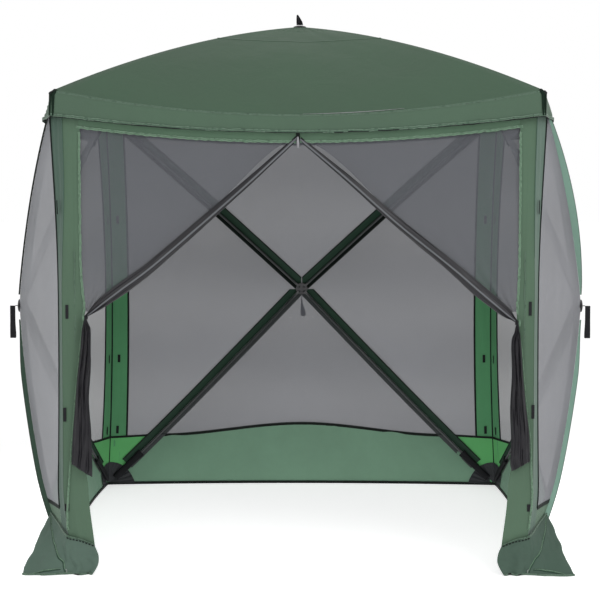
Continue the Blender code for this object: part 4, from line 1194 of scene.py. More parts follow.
# dark strips down each corner of the valance: painted shade in its corner creases
for side in range(4):
    away = unit((SIDES[side][2][0] or SIDES[(side + 1) % 4][2][0], SIDES[side][2][1] or SIDES[(side + 1) % 4][2][1], 0))
    path = [valance_point((side + 1) % 4, -1.0, w) + away * 0.0006 for w in spaced(16, 0.02, 0.97)]
    parts = [strip("c", path, away, [0.0105 - 0.0035 * w for w in spaced(16, 0, 1)], CREASE_SHADE, thick=0.0026, crown_h=0.0012)]
    path = [valance_point((side + 1) % 4, -1.0, w) + away * 0.0014 for w in spaced(6, 0.0, 0.20)]
    parts.append(strip("d", path, away, [0.013, 0.016, 0.017, 0.016, 0.013, 0.008], BINDING_AND_SHADOW, thick=0.0024, crown_h=0.0010))
    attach(join("valance_corner_seam_" + SIDE_NAMES[side], parts), "shelter")

# a dark strip beside each front corner: painted shade in a fold of the valance
for s in (-1, 1):
    path = [valance_point(0, s * (0.9905 - 0.0010 * w), 0.03 + 0.93 * w) + np.array([0, -0.0016, 0]) for w in spaced(14, 0, 1)]
    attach(strip("valance_corner_fold_shade_" + ("left" if s < 0 else "right"), path, (0, -1.0, 0), [0.0150 - 0.0095 * w ** 0.7 for w in spaced(14, 0, 1)], CREASE_SHADE, thick=0.0022, crown_h=0.0006), "shelter")

# a pale strip beside the eave seam in front: painted highlight on a fold
path = [valance_point(0, c, 0.02 - 0.10 * (c - 0.02)) + np.array([0, -0.0008, 0.0010]) for c in spaced(40, 0.02, 0.44)]
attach(strip("valance_fold_painted_highlight", path, (0, -1.0, 0.7), [0.0010 + 0.0024 * math.sin(math.pi * w) for w in spaced(40, 0, 1)], PALE_PIPING_AND_HIGHLIGHT, thick=0.0012, across=3), "shelter")

# ---------------------------------------------------------------- door header
grid = []
for r in range(9):
    row = []
    for x in spaced(67, -0.800, 0.812):
        low, high = header_low(x / HEAD_HALF), eave_z(x / (FRONT_W_TOP / 2)) - 0.012
        z = low + (high - low) * r / 8
        row.append((x, door_y(x) + 0.0035 + 0.0016 * fbm(x * 9, z * 9, 8.0), z))
    grid.append(row)
# the header cloth is the lighter copy, painted light
header = cloth_sheet("door_header_cloth", grid, HEADER_GREEN_LIT)
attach(header, "shelter")
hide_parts("door_header")
declare(header, (1.56, 0.115))
path = [(x, door_y(x) + 0.0022, header_low(x / HEAD_HALF) + 0.004 + 0.0012 * math.sin(x * 210) + 0.0014 * fbm(x * 25, 1.0, 4.0)) for x in spaced(241, -0.795, 0.806)]
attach(strip("door_header_hem", path, (0, -1, 0), 0.010, DOOR_HEM_AND_HIGHLIGHT, thick=0.0026), "shelter")

# ---------------------------------------------------------------- door curtains
for side_name, s in (("left", -1), ("right", 1)):
    tie_x = 0.765 if s < 0 else 0.780

    rolled = {
        -1: [(0.002, 1.582, 0.007), (0.172, 1.428, 0.0125), (0.352, 1.270, 0.0165), (0.532, 1.114, 0.0200), (0.641, 1.033, 0.0225), (0.714, 0.980, 0.0175), (0.750, 0.950, 0.0080), (0.767, 0.936, 0.0040)],
        1: [(0.008, 1.576, 0.007), (0.187, 1.428, 0.0125), (0.366, 1.270, 0.0165), (0.547, 1.122, 0.0200), (0.655, 1.029, 0.0225), (0.745, 0.956, 0.0185), (0.776, 0.930, 0.0080), (0.792, 0.915, 0.0040)],
    }[s]

    def roll_at(w):
        """Centre and half width of the rolled edge, from the header at 0 to the tie at 1."""
        return [float(v) for v in catmull([np.array(q) for q in rolled], w)]

    def roll_x(z):
        for (xa, za, _), (xb, zb, _) in zip(rolled, rolled[1:]):
            if z >= zb:
                return xa + (xb - xa) * min(max((za - z) / (za - zb), 0), 1)
        return rolled[-1][0]

    def post_edge(z):
        return post_inner(s, z) + 0.006

    def plane_y(x, z):
        lean = smooth(1.05, 1.54, z)
        return CURTAIN_Y + lean * (door_y(x) + 0.0155 - CURTAIN_Y) - 0.004

    # the flat part of the netting, between the header, the post and the rolled edge
    grid = []
    for r in range(34):
        w = r / 33
        row = []
        for k in range(28):
            v = k / 27
            # v runs from the post to the rolled edge, w from the tie up to the header
            z_low = TIE_Z + 0.012
            x_out = post_edge(z_low + (1.60 - z_low) * w)
            z_roll = z_low + (1.582 - z_low) * w
            x_roll = min(roll_x(z_roll) + 0.006, x_out)
            x = x_out * (1 - v) + x_roll * v
            z_top = header_low(x / HEAD_HALF) + 0.002
            z_base = z_low + (z_top - z_low) * w if v == 0 else None
            z_line = (z_low + (header_low(x_out / HEAD_HALF) - z_low) * w) * (1 - v) + z_roll * v
            z = z_line + (w ** 6) * max(z_top - z_line, 0)
            free = math.sin(math.pi * v) * (1 - w * 0.6)
            y = plane_y(x, z) + 0.006 * free * fbm(x * 3.5, z * 3.5, 2.0 + s) + 0.003 * math.sin(26 * v + 8 * w) * free * (1 - w)
            row.append((s * x, y, z))
        grid.append(row)
    flat = cloth_sheet(side_name + "_door_netting", grid, DOOR_NET)
    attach(flat, "shelter")
    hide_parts(side_name + "_door_curtain")
    declare(flat, (0.80, 0.66))

    # the rolled edge: folds of netting, thickest before they are pinched at the tie
    count, sides = 110, 44
    centre = [roll_at(k / (count - 1)) for k in range(count)]
    path = [np.array([s * x, plane_y(x, z) - 0.006 - 0.004 * smooth(0.5, 0.9, k / (count - 1)), z]) for k, (x, z, r) in enumerate(centre)]
    radii = [r for x, z, r in centre]
    fr = frames(path, (0, -1, 0))
    points, uvs, length = [], [], 0.0
    for i, (p, t, n, side) in enumerate(fr):
        w = i / (count - 1)
        up = side if side[2] > 0 else -side
        if i:
            length += float(np.linalg.norm(p - fr[i - 1][0]))
        for k in range(sides):
            a = 2 * math.pi * k / sides
            drift = 1.6 * fbm(length * 2.6, 3.0 + s, 1.0)
            deep = 0.10 + 0.22 * smooth(0.35, 0.9, w)
            fold = deep * math.sin(5 * a + drift * 2 + 1.5 * w) + deep * 0.6 * math.sin(9 * a - 3 * w + drift) + 0.10 * fbm(length * 14, 2 * math.cos(a), 2 * math.sin(a) + s)
            r_up = radii[i] * (1 + 0.35 * fold)
            r_out = min(radii[i], 0.0085 + 0.25 * radii[i]) * (0.85 + 1.15 * fold)
            points.append(p + up * math.cos(a) * r_up + n * math.sin(a) * max(r_out, 0.0015))
            uvs.append((length, a * radii[i]))
    faces = grid_faces(count, sides, closed_c=True) + [tuple(range(sides))[::-1], tuple(range((count - 1) * sides, count * sides))]
    roll = make(side_name + "_door_roll", points, faces, ROLL_NET, uvs)
    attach(roll, "shelter")
    declare(roll, (0.97, 0.14), layers=2)
    line = []
    for i, (p, t, n, side) in enumerate(fr[: int(count * 0.93)]):
        up = side if side[2] > 0 else -side
        w = i / (count - 1)
        line.append(p - up * radii[i] * (0.18 + 0.12 * math.sin(9 * w)) + n * (min(radii[i], 0.0085 + 0.25 * radii[i]) * 1.02 + 0.0006))
    widths = [0.0062 * (1 - 0.45 * smooth(0.55, 0.9, i / (count - 1))) for i in range(len(line))]
    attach(strip(side_name + "_door_zip_tape", line, (0, -1, 0), widths, ROLL_EDGE, thick=0.0022, crown_h=0.0006), "shelter")

    # gathered below the tie, hanging in front of the post in deep folds
    inner_line = {
        -1: [(0.765, 0.936), (0.754, 0.907), (0.745, 0.880), (0.748, 0.792), (0.750, 0.711), (0.754, 0.615), (0.749, 0.510), (0.743, 0.406), (0.747, 0.354)],
        1: [(0.789, 0.918), (0.779, 0.886), (0.770, 0.850), (0.770, 0.753), (0.767, 0.633), (0.769, 0.512), (0.768, 0.420), (0.773, 0.378)],
    }[s]
    outer_line = {
        -1: [(0.769, 0.936), (0.776, 0.905), (0.780, 0.874), (0.788, 0.792), (0.797, 0.711), (0.806, 0.615), (0.814, 0.510), (0.821, 0.404)],
        1: [(0.794, 0.918), (0.799, 0.874), (0.806, 0.818), (0.812, 0.713), (0.821, 0.633), (0.831, 0.553), (0.838, 0.471), (0.839, 0.415)],
    }[s]
    count, around = 100, 88
    points, uvs = [], []
    for i in range(count):
        w = i / (count - 1)
        pi = catmull([np.array(q) for q in inner_line], w)
        po = catmull([np.array(q) for q in outer_line], w)
        half = max(abs(po[0] - pi[0]) / 2, 0.0035)
        deep = 0.0042 + 0.0085 * smooth(0.0, 0.18, w)
        yc = -DEPTH / 2 - 0.0065 - 0.004 * smooth(0.0, 0.2, w)
        for k in range(around):
            a = 2 * math.pi * k / around
            across = math.cos(a)
            drift = 2.2 * fbm(w * 2.2, across * 0.8, s * 3.0)
            amount = smooth(0.02, 0.16, w)
            fold = (0.42 * math.sin(9 * across + 3.2 * w + drift) + 0.26 * math.sin(17 * across - 4.5 * w + 1.7 * drift) + 0.5 * fbm(w * 9, across * 3.2, 2.0 + s)) * amount
            share = (1 - across) / 2  # 0 at the outer side, 1 at the inner side
            at = po * (1 - share) + pi * share
            x = at[0] - 0.0016 * math.sin(w * 21 + s) * amount * (1 if across < 0 else 0.4)
            y = yc - math.sin(a) * deep * (1 + (0.75 * fold if math.sin(a) > 0 else 0.1 * fold))
            z = at[1] + (0.004 * fold if w > 0.97 else 0.0)
            points.append((s * x, y, z))
            uvs.append((a * half, w * 0.6))
    faces = grid_faces(count, around, closed_c=True) + [tuple(range(around))[::-1], tuple(range((count - 1) * around, count * around))]
    gathered = make(side_name + "_door_gather", points, faces, BLACK_NET, uvs)
    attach(gathered, "shelter")
    declare(gathered, (0.17, 0.58), layers=2)

    # the tie-back: a narrow loop pulled tight round the folds, with its toggle
    tx, tz = (0.768, 0.934) if s < 0 else (0.792, 0.915)
    path, normals = [], []
    for k in range(40):
        a = 2 * math.pi * k / 40
        ca, sa = math.cos(a), math.sin(a)
        path.append(np.array([s * (tx + ca * 0.0095), -DEPTH / 2 - 0.0045 + sa * 0.0105, tz + 0.003 * ca]))
        normals.append(unit((s * ca, sa, 0)))
    path.append(path[0])
    normals.append(normals[0])
    band = strip("t", path, normals, 0.0085, WEBBING, thick=0.0016, across=3)
    toggle = tube("k", [np.array([s * (tx + 0.0050), -DEPTH / 2 - 0.0165, tz + d]) for d in (0.012, 0.006, 0.0, -0.006, -0.012)], [0.0022, 0.0036, 0.0040, 0.0036, 0.0022], DOOR_HEM_AND_HIGHLIGHT, sides=12)
    tail = strip("u", [np.array([s * (tx - 0.002), -DEPTH / 2 - 0.0150, tz - 0.004 - 0.026 * w]) for w in spaced(6, 0, 1)], (0, -1, 0), 0.0062, WEBBING, thick=0.0014, across=3)
    tie = join(side_name + "_tie_band", [band, toggle, tail])
    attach(tie, "shelter")
    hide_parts(side_name + "_tie_back")

# the zip: slider and tape under the header, with the CAD pull tab
tape = strip("door_zip_tape_top", [np.array([0, door_y(0) + 0.0010, z]) for z in spaced(8, 1.548, 1.600)], (0, -1, 0), 0.014, BINDING_AND_SHADOW, thick=0.0018)
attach(tape, "shelter")
body = []
for k in range(9):
    z = 1.574 + 0.010 * k / 8
    body.append(np.array([0, door_y(0) - 0.0020, z]))
slider = strip("door_zip_slider", body, (0, -1, 0), [0.0040, 0.0050, 0.0056, 0.0058, 0.0058, 0.0058, 0.0054, 0.0048, 0.0034], METAL, thick=0.0032, crown_h=0.0010)
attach(slider, "shelter")

# ---------------------------------------------------------------- foot flaps
def flap_controls(wall_name, end, front):
    key = ("f" if front else "b") + wall_name[0]
    out = WALLS[wall_name][2]
    fwd = np.array([0, -1.0 if front else 1.0, 0])
    inward = -out
    lift = 0.0035

    def skin(reach, z):
        if front:
            return corner(key, z) + inward * reach
        u = 1 - reach / (BACK_W / 2)
        return wall("back", u if key[1] == "r" else -u, z)

    grid = []
    for w in (0.0, 0.33, 0.66, 1.0):
        top_side = wall(wall_name, end * 0.80, 0.185) + out * (lift + 0.001)
        tip = corner(key, 0) + out * FLAP_OUT + fwd * 0.040
        tip[2] = 0.0006
        a = top_side * (1 - w) + tip * w
        mid_top = wall(wall_name, end * 0.90, 0.160) + out * (lift + 0.001)
        mid_foot = corner(key, 0) + out * FLAP_OUT * 0.52 + fwd * 0.046
        mid_foot[2] = 0.0006
        b = mid_top * (1 - w) + mid_foot * w
        c_top = corner(key, SEAM_Z + 0.012) + (out + fwd) * lift
        c_foot = corner(key, 0) + out * 0.006 + fwd * 0.030
        c_foot[2] = 0.0006
        c = c_top * (1 - w) + c_foot * w
        d_top = skin(0.045, SEAM_Z - 0.002) + fwd * (lift + 0.002)
        d_foot = skin(0.045, 0.0) + fwd * 0.034
        d_foot[2] = 0.0006
        d = d_top * (1 - w) + d_foot * w
        e_top = skin(0.092, SEAM_Z - 0.022) + fwd * (lift + 0.003)
        e_foot = skin(0.080, 0.0) + fwd * 0.030
        e_foot[2] = 0.0006
        e = e_top * (1 - w) + e_foot * w + inward * 0.020 * 4 * w * (1 - w)
        grid.append([a, b, c, d, e])
    return np.array(grid), out, fwd


for name, wall_name, end, front in (
    ("front_left_foot_flap", "left", -1, True),
    ("front_right_foot_flap", "right", -1, True),
    ("back_left_foot_flap", "left", 1, False),
    ("back_right_foot_flap", "right", 1, False),
):
    controls, out, fwd = flap_controls(wall_name, end, front)
    seed = len(name) + (3.0 if wall_name == "left" else 0.0)
    rows_n, cols_n = 26, 54
    grid = []
    for r in range(rows_n):
        w = r / (rows_n - 1)
        across = [catmull(controls[:, c], w) for c in range(5)]
        row = []
        for k in range(cols_n):
            v = k / (cols_n - 1)
            p = catmull(across, v)
            n = unit(out * (1 - smooth(0.45, 0.75, v)) + fwd * (0.5 + smooth(0.45, 0.75, v)))
            fold = 0.006 * math.sin(v * 21 + 2.5 * fbm(v * 3, w * 2, seed)) * w + 0.005 * fbm(v * 6, w * 4, seed)
            crease = 0.006 * math.exp(-((v - 0.5) / 0.03) ** 2) * smooth(0.0, 0.3, w)
            p = p + n * ((fold + 0.004) * smooth(0.0, 0.25, w) + crease)
            if w == 1.0:
                p = p + out * 0.010 * fbm(v * 9, 0, seed) * (1 - v)
            p[2] = max(p[2] + 0.006 * fbm(v * 7, w * 3, seed + 3) * math.sin(math.pi * w), 0.0012)
            row.append(p)
        grid.append(row)
    # the lowest strip turns out along the ground
    last = grid[-1]
    # the right flaps take the darker copy of the flap cloth, painted shade
    cloth = cloth_sheet(name + "_cloth", grid, FLAP_LEFT if wall_name == "left" else FLAP_RIGHT_SHADED)
    solid = cloth.modifiers.new("thickness", "SOLIDIFY")
    solid.thickness = 0.0012
    solid.offset = 0.0
    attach(cloth, "shelter")
    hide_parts(name)
    declare(cloth, (0.36, 0.20))
    # stitched top seam and the turned hem
    top = [p + (out + fwd) * 0.0012 for p in grid[0]]
    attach(strip(name + "_seam", top, unit(out + fwd), 0.008, HEM, thick=0.0022, across=4), "shelter")
    low = [p + (out + fwd) * 0.0008 + np.array([0, 0, 0.004]) for p in grid[-1]]
    def on_flap(v, w, lift_by):
        r, k = min(max(w, 0), 1) * (rows_n - 1), min(max(v, 0), 1) * (cols_n - 1)
        r0, k0 = min(int(r), rows_n - 2), min(int(k), cols_n - 2)
        a, b = r - r0, k - k0
        p = grid[r0][k0] * (1 - a) * (1 - b) + grid[r0 + 1][k0] * a * (1 - b) + grid[r0][k0 + 1] * (1 - a) * b + grid[r0 + 1][k0 + 1] * a * b
        return p + unit(out * (1 - v) + fwd * (0.3 + v)) * lift_by

    face = unit(out + fwd * 1.2)
    # strips along the flap's folds, raised a little and coloured as painted light and shade: the pale strips b and c
    # are painted highlights on fold ridges, the dark strips a and d painted shade beside them, and the black strip e
    # painted shadow under the hem
    folds = []
    for label, mat, wide, line in (
        ("a", SLEEVE_AND_SHADE, 0.0045, [(0.02, 0.02), (0.20, 0.25), (0.36, 0.55), (0.46, 0.78), (0.50, 0.97)]),
        ("b", DOOR_HEM_AND_HIGHLIGHT, 0.0040, [(0.035, 0.02), (0.215, 0.25), (0.375, 0.55), (0.475, 0.78), (0.515, 0.97)]),
        ("c", DOOR_HEM_AND_HIGHLIGHT, 0.0042, [(0.10, 0.97), (0.24, 0.90), (0.36, 0.865), (0.44, 0.85)]),
        ("d", SLEEVE_AND_SHADE, 0.0040, [(0.10, 0.985), (0.24, 0.925), (0.36, 0.89), (0.44, 0.875)]),
        ("e", BINDING_AND_SHADOW, 0.0075, [(0.60, 0.985), (0.74, 0.97), (0.88, 0.955), (0.97, 0.975)]),
    ):
        pts = [np.array(q) for q in line]
        path = [on_flap(*catmull(pts, w), 0.0012) for w in spaced(28, 0, 1)]
        widths = [wide * (0.35 + 0.65 * math.sin(math.pi * min(w * 1.15 + 0.05, 1))) for w in spaced(28, 0, 1)]
        folds.append(strip(label, path, face, widths, mat, thick=0.0022, crown_h=0.0008))
    ring = [on_flap(0.50, 0.90, 0.0016) + np.array([0, 0, 1.0]) * 0.0055 * math.sin(a) + unit(np.cross(face, (0, 0, 1.0))) * 0.0055 * math.cos(a) for a in spaced(17, 0, 2 * math.pi)[:-1]]
    folds.append(tube("g", ring, 0.0016, PALE_PIPING_AND_HIGHLIGHT, sides=6, closed=True))
    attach(join(name + "_folds_painted_light_and_shade", folds), "shelter")
    dashes = []
    for k in range(9):
        v0 = 0.50 + 0.055 * k
        path = [on_flap(v0 + 0.034 * w, 0.045, 0.0024) for w in (0, 0.5, 1.0)]
        dashes.append(strip("d", path, fwd, 0.0046, BINDING_AND_SHADOW, thick=0.0016, across=3))
    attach(join(name + "_stitches", dashes), "shelter")
    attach(strip(name + "_hem", low, [unit(out * (1 - k / (cols_n - 1)) + fwd * (0.3 + k / (cols_n - 1))) for k in range(cols_n)], 0.007, HEM, thick=0.0020, across=4), "shelter")

# ---------------------------------------------------------------- pockets over the pole tips
def pocket_piece(name, key, top):
    z_corner = CORNER_Z if top else 0.0
    back, right = key[0] == "b", key[1] == "r"
    held = [("right" if right else "left", (1 if back else -1, 1 if top else -1))]
    if back:
        held.append(("back", (1 if right else -1, 1 if top else -1)))
    if top:
        held.append(("roof", (1 if right else -1, 1 if back else -1)))
    parts = []
    for which, arm in held:
        hub_at, out = crown(which)
        inset = POLE_INSET + (0.0020 if which == "roof" else 0)
        length = np.linalg.norm(ridge(which, *arm, 1.0, inset) - hub_at)
        centre_at = hub_at - out * HUB_DROP
        k_tip = 1 - TIP_BACK / np.linalg.norm(ridge(which, *arm, 1.0, inset) - centre_at)
        tip = ridge(which, *arm, k_tip, inset)
        mouth = ridge(which, *arm, 1 - 0.215 / length, inset)
        along = unit(mouth - tip)
        high = float(np.dot(mouth - tip, along))
        lateral = unit(np.cross(out, along))
        up = np.cross(along, lateral)
        points, uvs = [], []
        rows_k, sides = 22, 24
        for r in range(rows_k):
            w = r / (rows_k - 1)
            h = -0.012 + (high + 0.012) * w
            open_w = 0.0150 + 0.0020 * smooth(0.7, 1.0, w)
            open_t = 0.0082 * (0.55 + 0.45 * smooth(0.0, 0.15, w))
            for k in range(sides):
                a = 2 * math.pi * k / sides
                ca, sa = math.cos(a), math.sin(a)
                x = math.copysign(abs(ca) ** 0.8, ca) * open_w * (1 + 0.04 * math.sin(w * 30 + k))
                y = math.copysign(abs(sa) ** 0.8, sa) * open_t * (1 + 0.06 * fbm(w * 6, ca * 2, sa * 2))
                if y < 0:
                    y *= 0.95
                points.append(tip + along * h + lateral * x - up * y * 1.0)
                uvs.append((x + 0.02, h))
        faces = grid_faces(rows_k, sides, closed_c=True) + [tuple(range(sides))[::-1]]
        parts.append(make("p", points, faces, WEBBING, uvs))
        # doubled band at the mouth
        ring_path, ring_normals = [], []
        for k in range(24):
            a = 2 * math.pi * k / 24
            ca, sa = math.cos(a), math.sin(a)
            ring_path.append(tip + along * (high - 0.008) + lateral * math.copysign(abs(ca) ** 0.8, ca) * 0.0175 - up * math.copysign(abs(sa) ** 0.8, sa) * 0.0086)
            ring_normals.append(unit(lateral * ca - up * sa))
        ring_path.append(ring_path[0])
        ring_normals.append(ring_normals[0])
        parts.append(strip("b", ring_path, ring_normals, 0.016, WEBBING, thick=0.0012, across=3))
    obj = join(name + "_webbing", parts)
    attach(obj, "shelter")
    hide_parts(name)


for key, label in (("fl", "front_left"), ("fr", "front_right"), ("bl", "back_left"), ("br", "back_right")):
    pocket_piece(label + "_foot_pocket", key, False)
    pocket_piece(label + "_top_pocket", key, True)

# pleated reinforcement fans sewn over the foot corners, with a stronger panel above them
def fan(name, which, s, mat=PATCH):
    """A pleated quarter-round patch on the inner face of a wall's foot corner."""
    rows_k, cols_k = 10, 45
    half = DEPTH / 2
    grid = []
    for r in range(rows_k):
        w = 0.10 + 0.90 * r / (rows_k - 1)
        row = []
        for k in range(cols_k):
            a = math.radians(2 + 88 * k / (cols_k - 1))
            reach = (0.104 + 0.022 * (1 - math.sin(a)) ** 2) * w
            u = s * (0.9975 - math.cos(a) * reach / half)
            z = 0.005 + math.sin(a) * reach
            pleat = 0.0014 * (1 + math.sin(a * 30)) * w
            row.append(wall(which, u, z, 0.0040 + pleat))
        grid.append(row)
    return cloth_sheet(name, grid, mat)


def corner_panel(name, which, s):
    grid = []
    for z in spaced(12, 0.050, BAND_END):
        inner = (HUB_Z - z) / HUB_Z
        grid.append([wall(which, s * (0.998 + (inner - 0.998) * k / 11), z, 0.0026) for k in range(12)])
    return cloth_sheet(name, grid, PANEL_GREEN)


for which, s, g in (("back", -1, "a"), ("back", 1, "b"), ("left", 1, "b"), ("right", 1, "b"), ("left", -1, "a"), ("right", -1, "a")):
    obj = fan("%s_corner_patch_%s" % (which, GUSSETS[which][g]), which, s)
    wall_blend(obj, which, g)
    declare(obj, (0.17, 0.13))
    if (which, s) in (("back", -1), ("back", 1), ("left", 1), ("right", 1)):
        obj = corner_panel("%s_corner_panel_%s" % (which, GUSSETS[which][g]), which, s)
        wall_blend(obj, which, g)
        declare(obj, (0.20, 0.18))
        path = [wall(which, s * u, BAND_END + 0.002, 0.0040) for u in spaced(8, STRIP_U - 0.16, 0.998)]
        tape = strip("%s_corner_binding_%s" % (which, GUSSETS[which][g]), path, out_of(which), 0.0095, BINDING_AND_SHADOW, thick=0.0020)
        wall_blend(tape, which, g)

# ---------------------------------------------------------------- pull straps
def curve(points, count):
    pts = [np.array(p, float) for p in points]
    return [catmull(pts, k / (count - 1)) for k in range(count)]


def pull_loop(name, at, out, side, body):
    """Webbing doubled over, flat against itself above and open in a teardrop at its foot."""
    down = np.array([0, 0, -1.0])
    outline = curve([(-0.0012, 0.0002), (-0.0013, 0.030), (-0.0013, 0.060), (-0.0034, 0.079), (-0.0048, 0.100), (-0.0052, 0.121), (-0.0022, 0.1325), (0.0070, 0.1345), (0.0150, 0.1335), (0.0182, 0.1275), (0.0176, 0.1175), (0.0116, 0.0980), (0.0050, 0.079), (0.0013, 0.060), (0.0013, 0.030), (0.0012, 0.0002)], 110)
    path = [at + side * b + down * d for b, d in outline]
    normals = []
    for k in range(len(path)):
        t = unit(path[min(k + 1, len(path) - 1)] - path[max(k - 1, 0)])
        normals.append(np.cross(out, t))
    parts = [strip("l", path, normals, STRAP_W - 0.0008, WEBBING, thick=0.0018, across=5)]
    # the tail folded back inside the teardrop
    inner = curve([(0.0002, 0.066), (0.0012, 0.086), (0.0040, 0.104), (0.0085, 0.1180), (0.0108, 0.1275)], 26)
    path = [at + side * b + down * d for b, d in inner]
    normals = [np.cross(out, unit(path[min(k + 1, len(path) - 1)] - path[max(k - 1, 0)])) for k in range(len(path))]
    parts.append(strip("i", path, normals, STRAP_W - 0.0014, WEBBING, thick=0.0060, across=5))
    # the webbing is folded over itself inside the teardrop
    rim = curve([(-0.0008, 0.060), (-0.0026, 0.080), (-0.0040, 0.100), (-0.0044, 0.120), (-0.0016, 0.1318), (0.0070, 0.1336), (0.0146, 0.1326), (0.0174, 0.1270), (0.0168, 0.1175), (0.0108, 0.0980), (0.0044, 0.080), (0.0008, 0.060)], 44)
    points, uvs, n = [], [], len(rim)
    for level_at, grow in ((-1.0, 0.90), (-0.8, 1.0), (0.8, 1.0), (1.0, 0.90)):
        for b, d in rim:
            b2, d2 = 0.005 + (b - 0.005) * grow, 0.104 + (d - 0.104) * grow
            points.append(at + side * b2 + down * d2 + out * level_at * (STRAP_W / 2 - 0.0022))
            uvs.append((d2, b2))
    parts.append(make("f", points, grid_faces(4, n, closed_c=True) + [tuple(range(n))[::-1], tuple(range(3 * n, 4 * n))], WEBBING, uvs))
    # a stitched wrap at the neck and the turned top that the cord goes through
    for d, wide in ((0.066, 0.012), (0.0065, 0.011)):
        ring, ring_n = [], []
        for k in range(28):
            a = 2 * math.pi * k / 28
            ca, sa = math.cos(a), math.sin(a)
            ring.append(at + down * d + side * math.copysign(abs(ca) ** 0.6, ca) * 0.0030 + out * math.copysign(abs(sa) ** 0.6, sa) * (STRAP_W / 2 - 0.0006))
            ring_n.append(unit(side * ca + out * sa * 0.3))
        ring.append(ring[0])
        ring_n.append(ring_n[0])
        parts.append(strip("w", ring, ring_n, wide, WEBBING, thick=0.0010, across=3))
    obj = join(name + "_loop", parts)
    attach(obj, body)
    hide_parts(name)


for which in ("left", "right", "back"):
    top, out = crown(which)
    side = np.array([0, 1.0, 0]) if abs(out[0]) > 0.5 else np.array([1.0, 0, 0])
    pull_loop(which + "_pull_strap", top + out * STRAP_OUT, out, side, which + "_pull_strap")

base = crown("roof")[0] + np.array([0, 0, 0.0066])
outline = curve([(0.0125, -0.0004), (0.0103, 0.0100), (0.0052, 0.0205), (-0.0018, 0.0320), (-0.0068, 0.0392), (-0.0096, 0.0412), (-0.0118, 0.0392), (-0.0128, 0.0325), (-0.0131, 0.0150), (-0.0125, -0.0004)], 70)
path = [base + np.array([b, 0, d]) for b, d in outline]
normals = [np.cross((0, 1.0, 0), unit(path[min(k + 1, 69)] - path[max(k - 1, 0)])) for k in range(70)]
widths = [2 * min(0.0012 + 0.85 * max(d, 0), 0.0096) for b, d in outline]
parts = [strip("l", path, normals, widths, WEBBING, thick=0.0018, across=5)]
inner = curve([(-0.0010, 0.0035), (-0.0030, 0.0140), (-0.0062, 0.0250), (-0.0096, 0.0350)], 20)
path = [base + np.array([b, 0, d]) for b, d in inner]
normals = [np.cross((0, 1.0, 0), unit(path[min(k + 1, 19)] - path[max(k - 1, 0)])) for k in range(20)]
widths = [2 * min(0.0010 + 0.80 * max(d, 0), 0.0084) for b, d in inner]
parts.append(strip("i", path, normals, widths, WEBBING, thick=0.0075, across=5))
rim = curve([(0.0112, 0.0006), (0.0094, 0.0100), (0.0044, 0.0205), (-0.0026, 0.0320), (-0.0074, 0.0388), (-0.0096, 0.0402), (-0.0112, 0.0384), (-0.0120, 0.0325), (-0.0122, 0.0150), (-0.0114, 0.0006)], 40)
points, uvs, n = [], [], len(rim)
for level_at in (-1.0, 1.0):
    for b, d in rim:
        points.append(base + np.array([b, level_at * min(0.0008 + 0.70 * max(d, 0), 0.0080), d]))
        uvs.append((d, b))
parts.append(make("f", points, grid_faces(2, n, closed_c=True) + [tuple(range(n))[::-1], tuple(range(n, 2 * n))], WEBBING, uvs))
obj = join("roof_pull_strap_loop", parts)
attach(obj, "roof_pull_strap")
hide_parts("roof_pull_strap")

# ---------------------------------------------------------------- small webbing tabs
def tab_on_wall(name, which, u, z, g, width=0.012, height=0.052, outer=True):
    lift = -0.0012 if outer else 0.0040
    path = [wall(which, u, z + height * w, lift + (0.0 if abs(w) > 0.4 else 0.0)) for w in (-0.5, -0.25, 0, 0.25, 0.5)]
    obj = strip(name, path, WALLS[which][2] * (1 if outer else -1), width, WEBBING, thick=0.0020)
    wall_blend(obj, which, g)


for side_name, s in (("left", -1), ("right", 1)):
    tab_on_wall("front_%s_post_tab_0" % side_name, side_name, -0.962, 1.330, "a", width=0.011, height=0.050)
    path = [np.array([s * 0.8405, -DEPTH / 2 - 0.0012 + 0.012 * 4 * (0.24 / CORNER_Z) * (1 - 0.24 / CORNER_Z), 0.240 + h]) for h in (-0.013, -0.0065, 0.0, 0.0065, 0.013)]
    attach(strip("front_%s_post_tab_3" % side_name, path, (0, -1, 0), 0.0165, WEBBING, thick=0.0026), "shelter")
    for n, (x, z) in enumerate((((0.835, 0.953), (0.846, 0.579)) if s < 0 else ((0.838, 0.965), (0.851, 0.591)))):
        path = [np.array([s * x, -DEPTH / 2 - 0.0015 + 0.012 * 4 * (z / CORNER_Z) * (1 - z / CORNER_Z), z + h]) for h in (-0.025, -0.0125, 0.0, 0.0125, 0.025)]
        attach(strip("front_%s_post_tab_%d" % (side_name, n + 1), path, (0, -1, 0), 0.0105, WEBBING, thick=0.0022), "shelter")
for side_name, s, g in (("left", -1, "a"), ("right", 1, "b")):
    for n, (u, z) in enumerate(((0.962, 0.60), (0.962, 1.25), (0.962, 0.262))):
        tab_on_wall("back_%s_post_tab_%d" % (side_name, n), "back", s * u, z, g, outer=False, height=0.036)
        tab_on_wall("back_%s_side_tab_%d" % (side_name, n), side_name, u, z, "b", outer=False, height=0.036)

# ---------------------------------------------------------------- finishes of the rigid CAD nodes
for name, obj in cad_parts.items():
    if obj.hide_render:
        continue
    if name.endswith("_hub") or name.endswith("_hub_cap"):
        chosen = NYLON
    elif "_pole_" in name:
        chosen = ROD
    elif name == "door_zip_pull":
        chosen = METAL
    else:
        continue
    for slot in obj.material_slots:
        slot.material = chosen

# ---------------------------------------------------------------- floor, light and camera
floor_mat = Tree("pale_floor")
shade = floor_mat.noise(floor_mat.mapped("Object"), 1.5, 3.0, 0.5)
floor_mat.set(Base_Color=floor_mat.mix(shade, (0.90, 0.90, 0.90), (0.93, 0.93, 0.93)), Roughness=0.9)
floor_mat.set(Specular_IOR_Level=0.1)
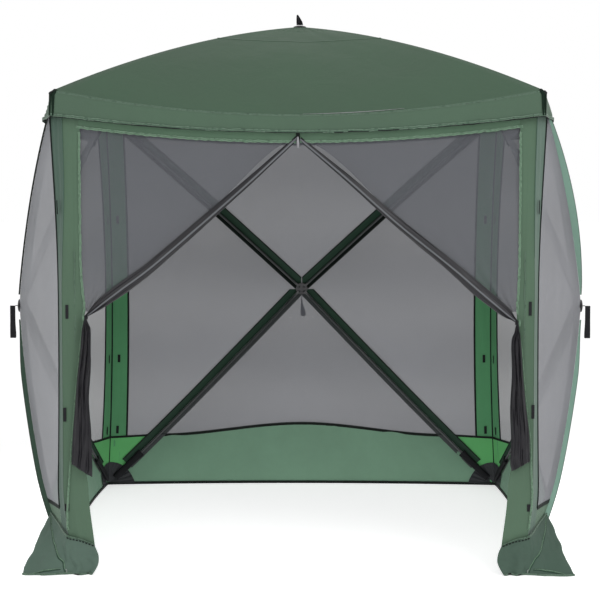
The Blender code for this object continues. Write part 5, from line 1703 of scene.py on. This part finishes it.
# the floor glows, brightest under the shelter and fading away from it: painted light that lifts the floor to white and
# lights the shelter from below
floor_mat.shader.inputs["Emission Color"].default_value = (1.0, 1.0, 1.0, 1.0)
away = floor_mat.new("ShaderNodeVectorMath", operation="LENGTH")
floor_mat.link(floor_mat.coord.outputs["Object"], away.inputs[0])
floor_glow_painted_light = floor_mat.new("ShaderNodeMapRange", interpolation_type="SMOOTHSTEP")
for socket, value in zip(("From Min", "From Max", "To Min", "To Max"), (0.9, 2.6, 0.66, 0.12)):
    floor_glow_painted_light.inputs[socket].default_value = value
floor_mat.link(away.outputs["Value"], floor_glow_painted_light.inputs["Value"])
floor_mat.link(floor_glow_painted_light.outputs["Result"], floor_mat.shader.inputs["Emission Strength"])
mesh = bpy.data.meshes.new("floor")
mesh.from_pydata([(-30, -30, 0), (30, -30, 0), (30, 60, 0), (-30, 60, 0)], [], [(0, 1, 2, 3)])
mesh.materials.append(floor_mat.mat)
floor = bpy.data.objects.new("floor", mesh)
scene.collection.objects.link(floor)
floor.location.z = -0.0015

world = bpy.data.worlds.new("studio")
scene.world = world
world.use_nodes = True
background = world.node_tree.nodes["Background"]
background.inputs["Color"].default_value = (1.0, 1.0, 1.0, 1.0)
background.inputs["Strength"].default_value = 1.0
scene.view_settings.view_transform = "Standard"


def area_light(name, at, towards, size, power):
    data = bpy.data.lights.new(name, "AREA")
    data.shape = "RECTANGLE"
    data.size, data.size_y = size
    data.energy = power
    obj = bpy.data.objects.new(name, data)
    scene.collection.objects.link(obj)
    obj.location = at
    obj.rotation_mode = "QUATERNION"
    obj.rotation_quaternion = (Vector(towards) - Vector(at)).to_track_quat("-Z", "Y")


area_light("key", (3.2, -4.6, 4.6), (0, -0.3, 1.0), (3.0, 3.0), 110)
area_light("front", (-1.2, -6.5, 1.8), (0, 0, 1.0), (3.5, 2.5), 45)

camera_data = bpy.data.cameras.new("camera")
camera_data.sensor_width = 36.0
camera_data.lens = 36.0 * 1691.8 / 600.0
camera_data.clip_end = 200.0
camera = bpy.data.objects.new("camera", camera_data)
scene.collection.objects.link(camera)
camera.location = np.array([0.0531, -6.996, 1.4024]) + SHIFT
camera.rotation_euler = (math.pi / 2 - 0.0666, 0.0, 0.0075)
scene.camera = camera

bpy.context.view_layer.update()
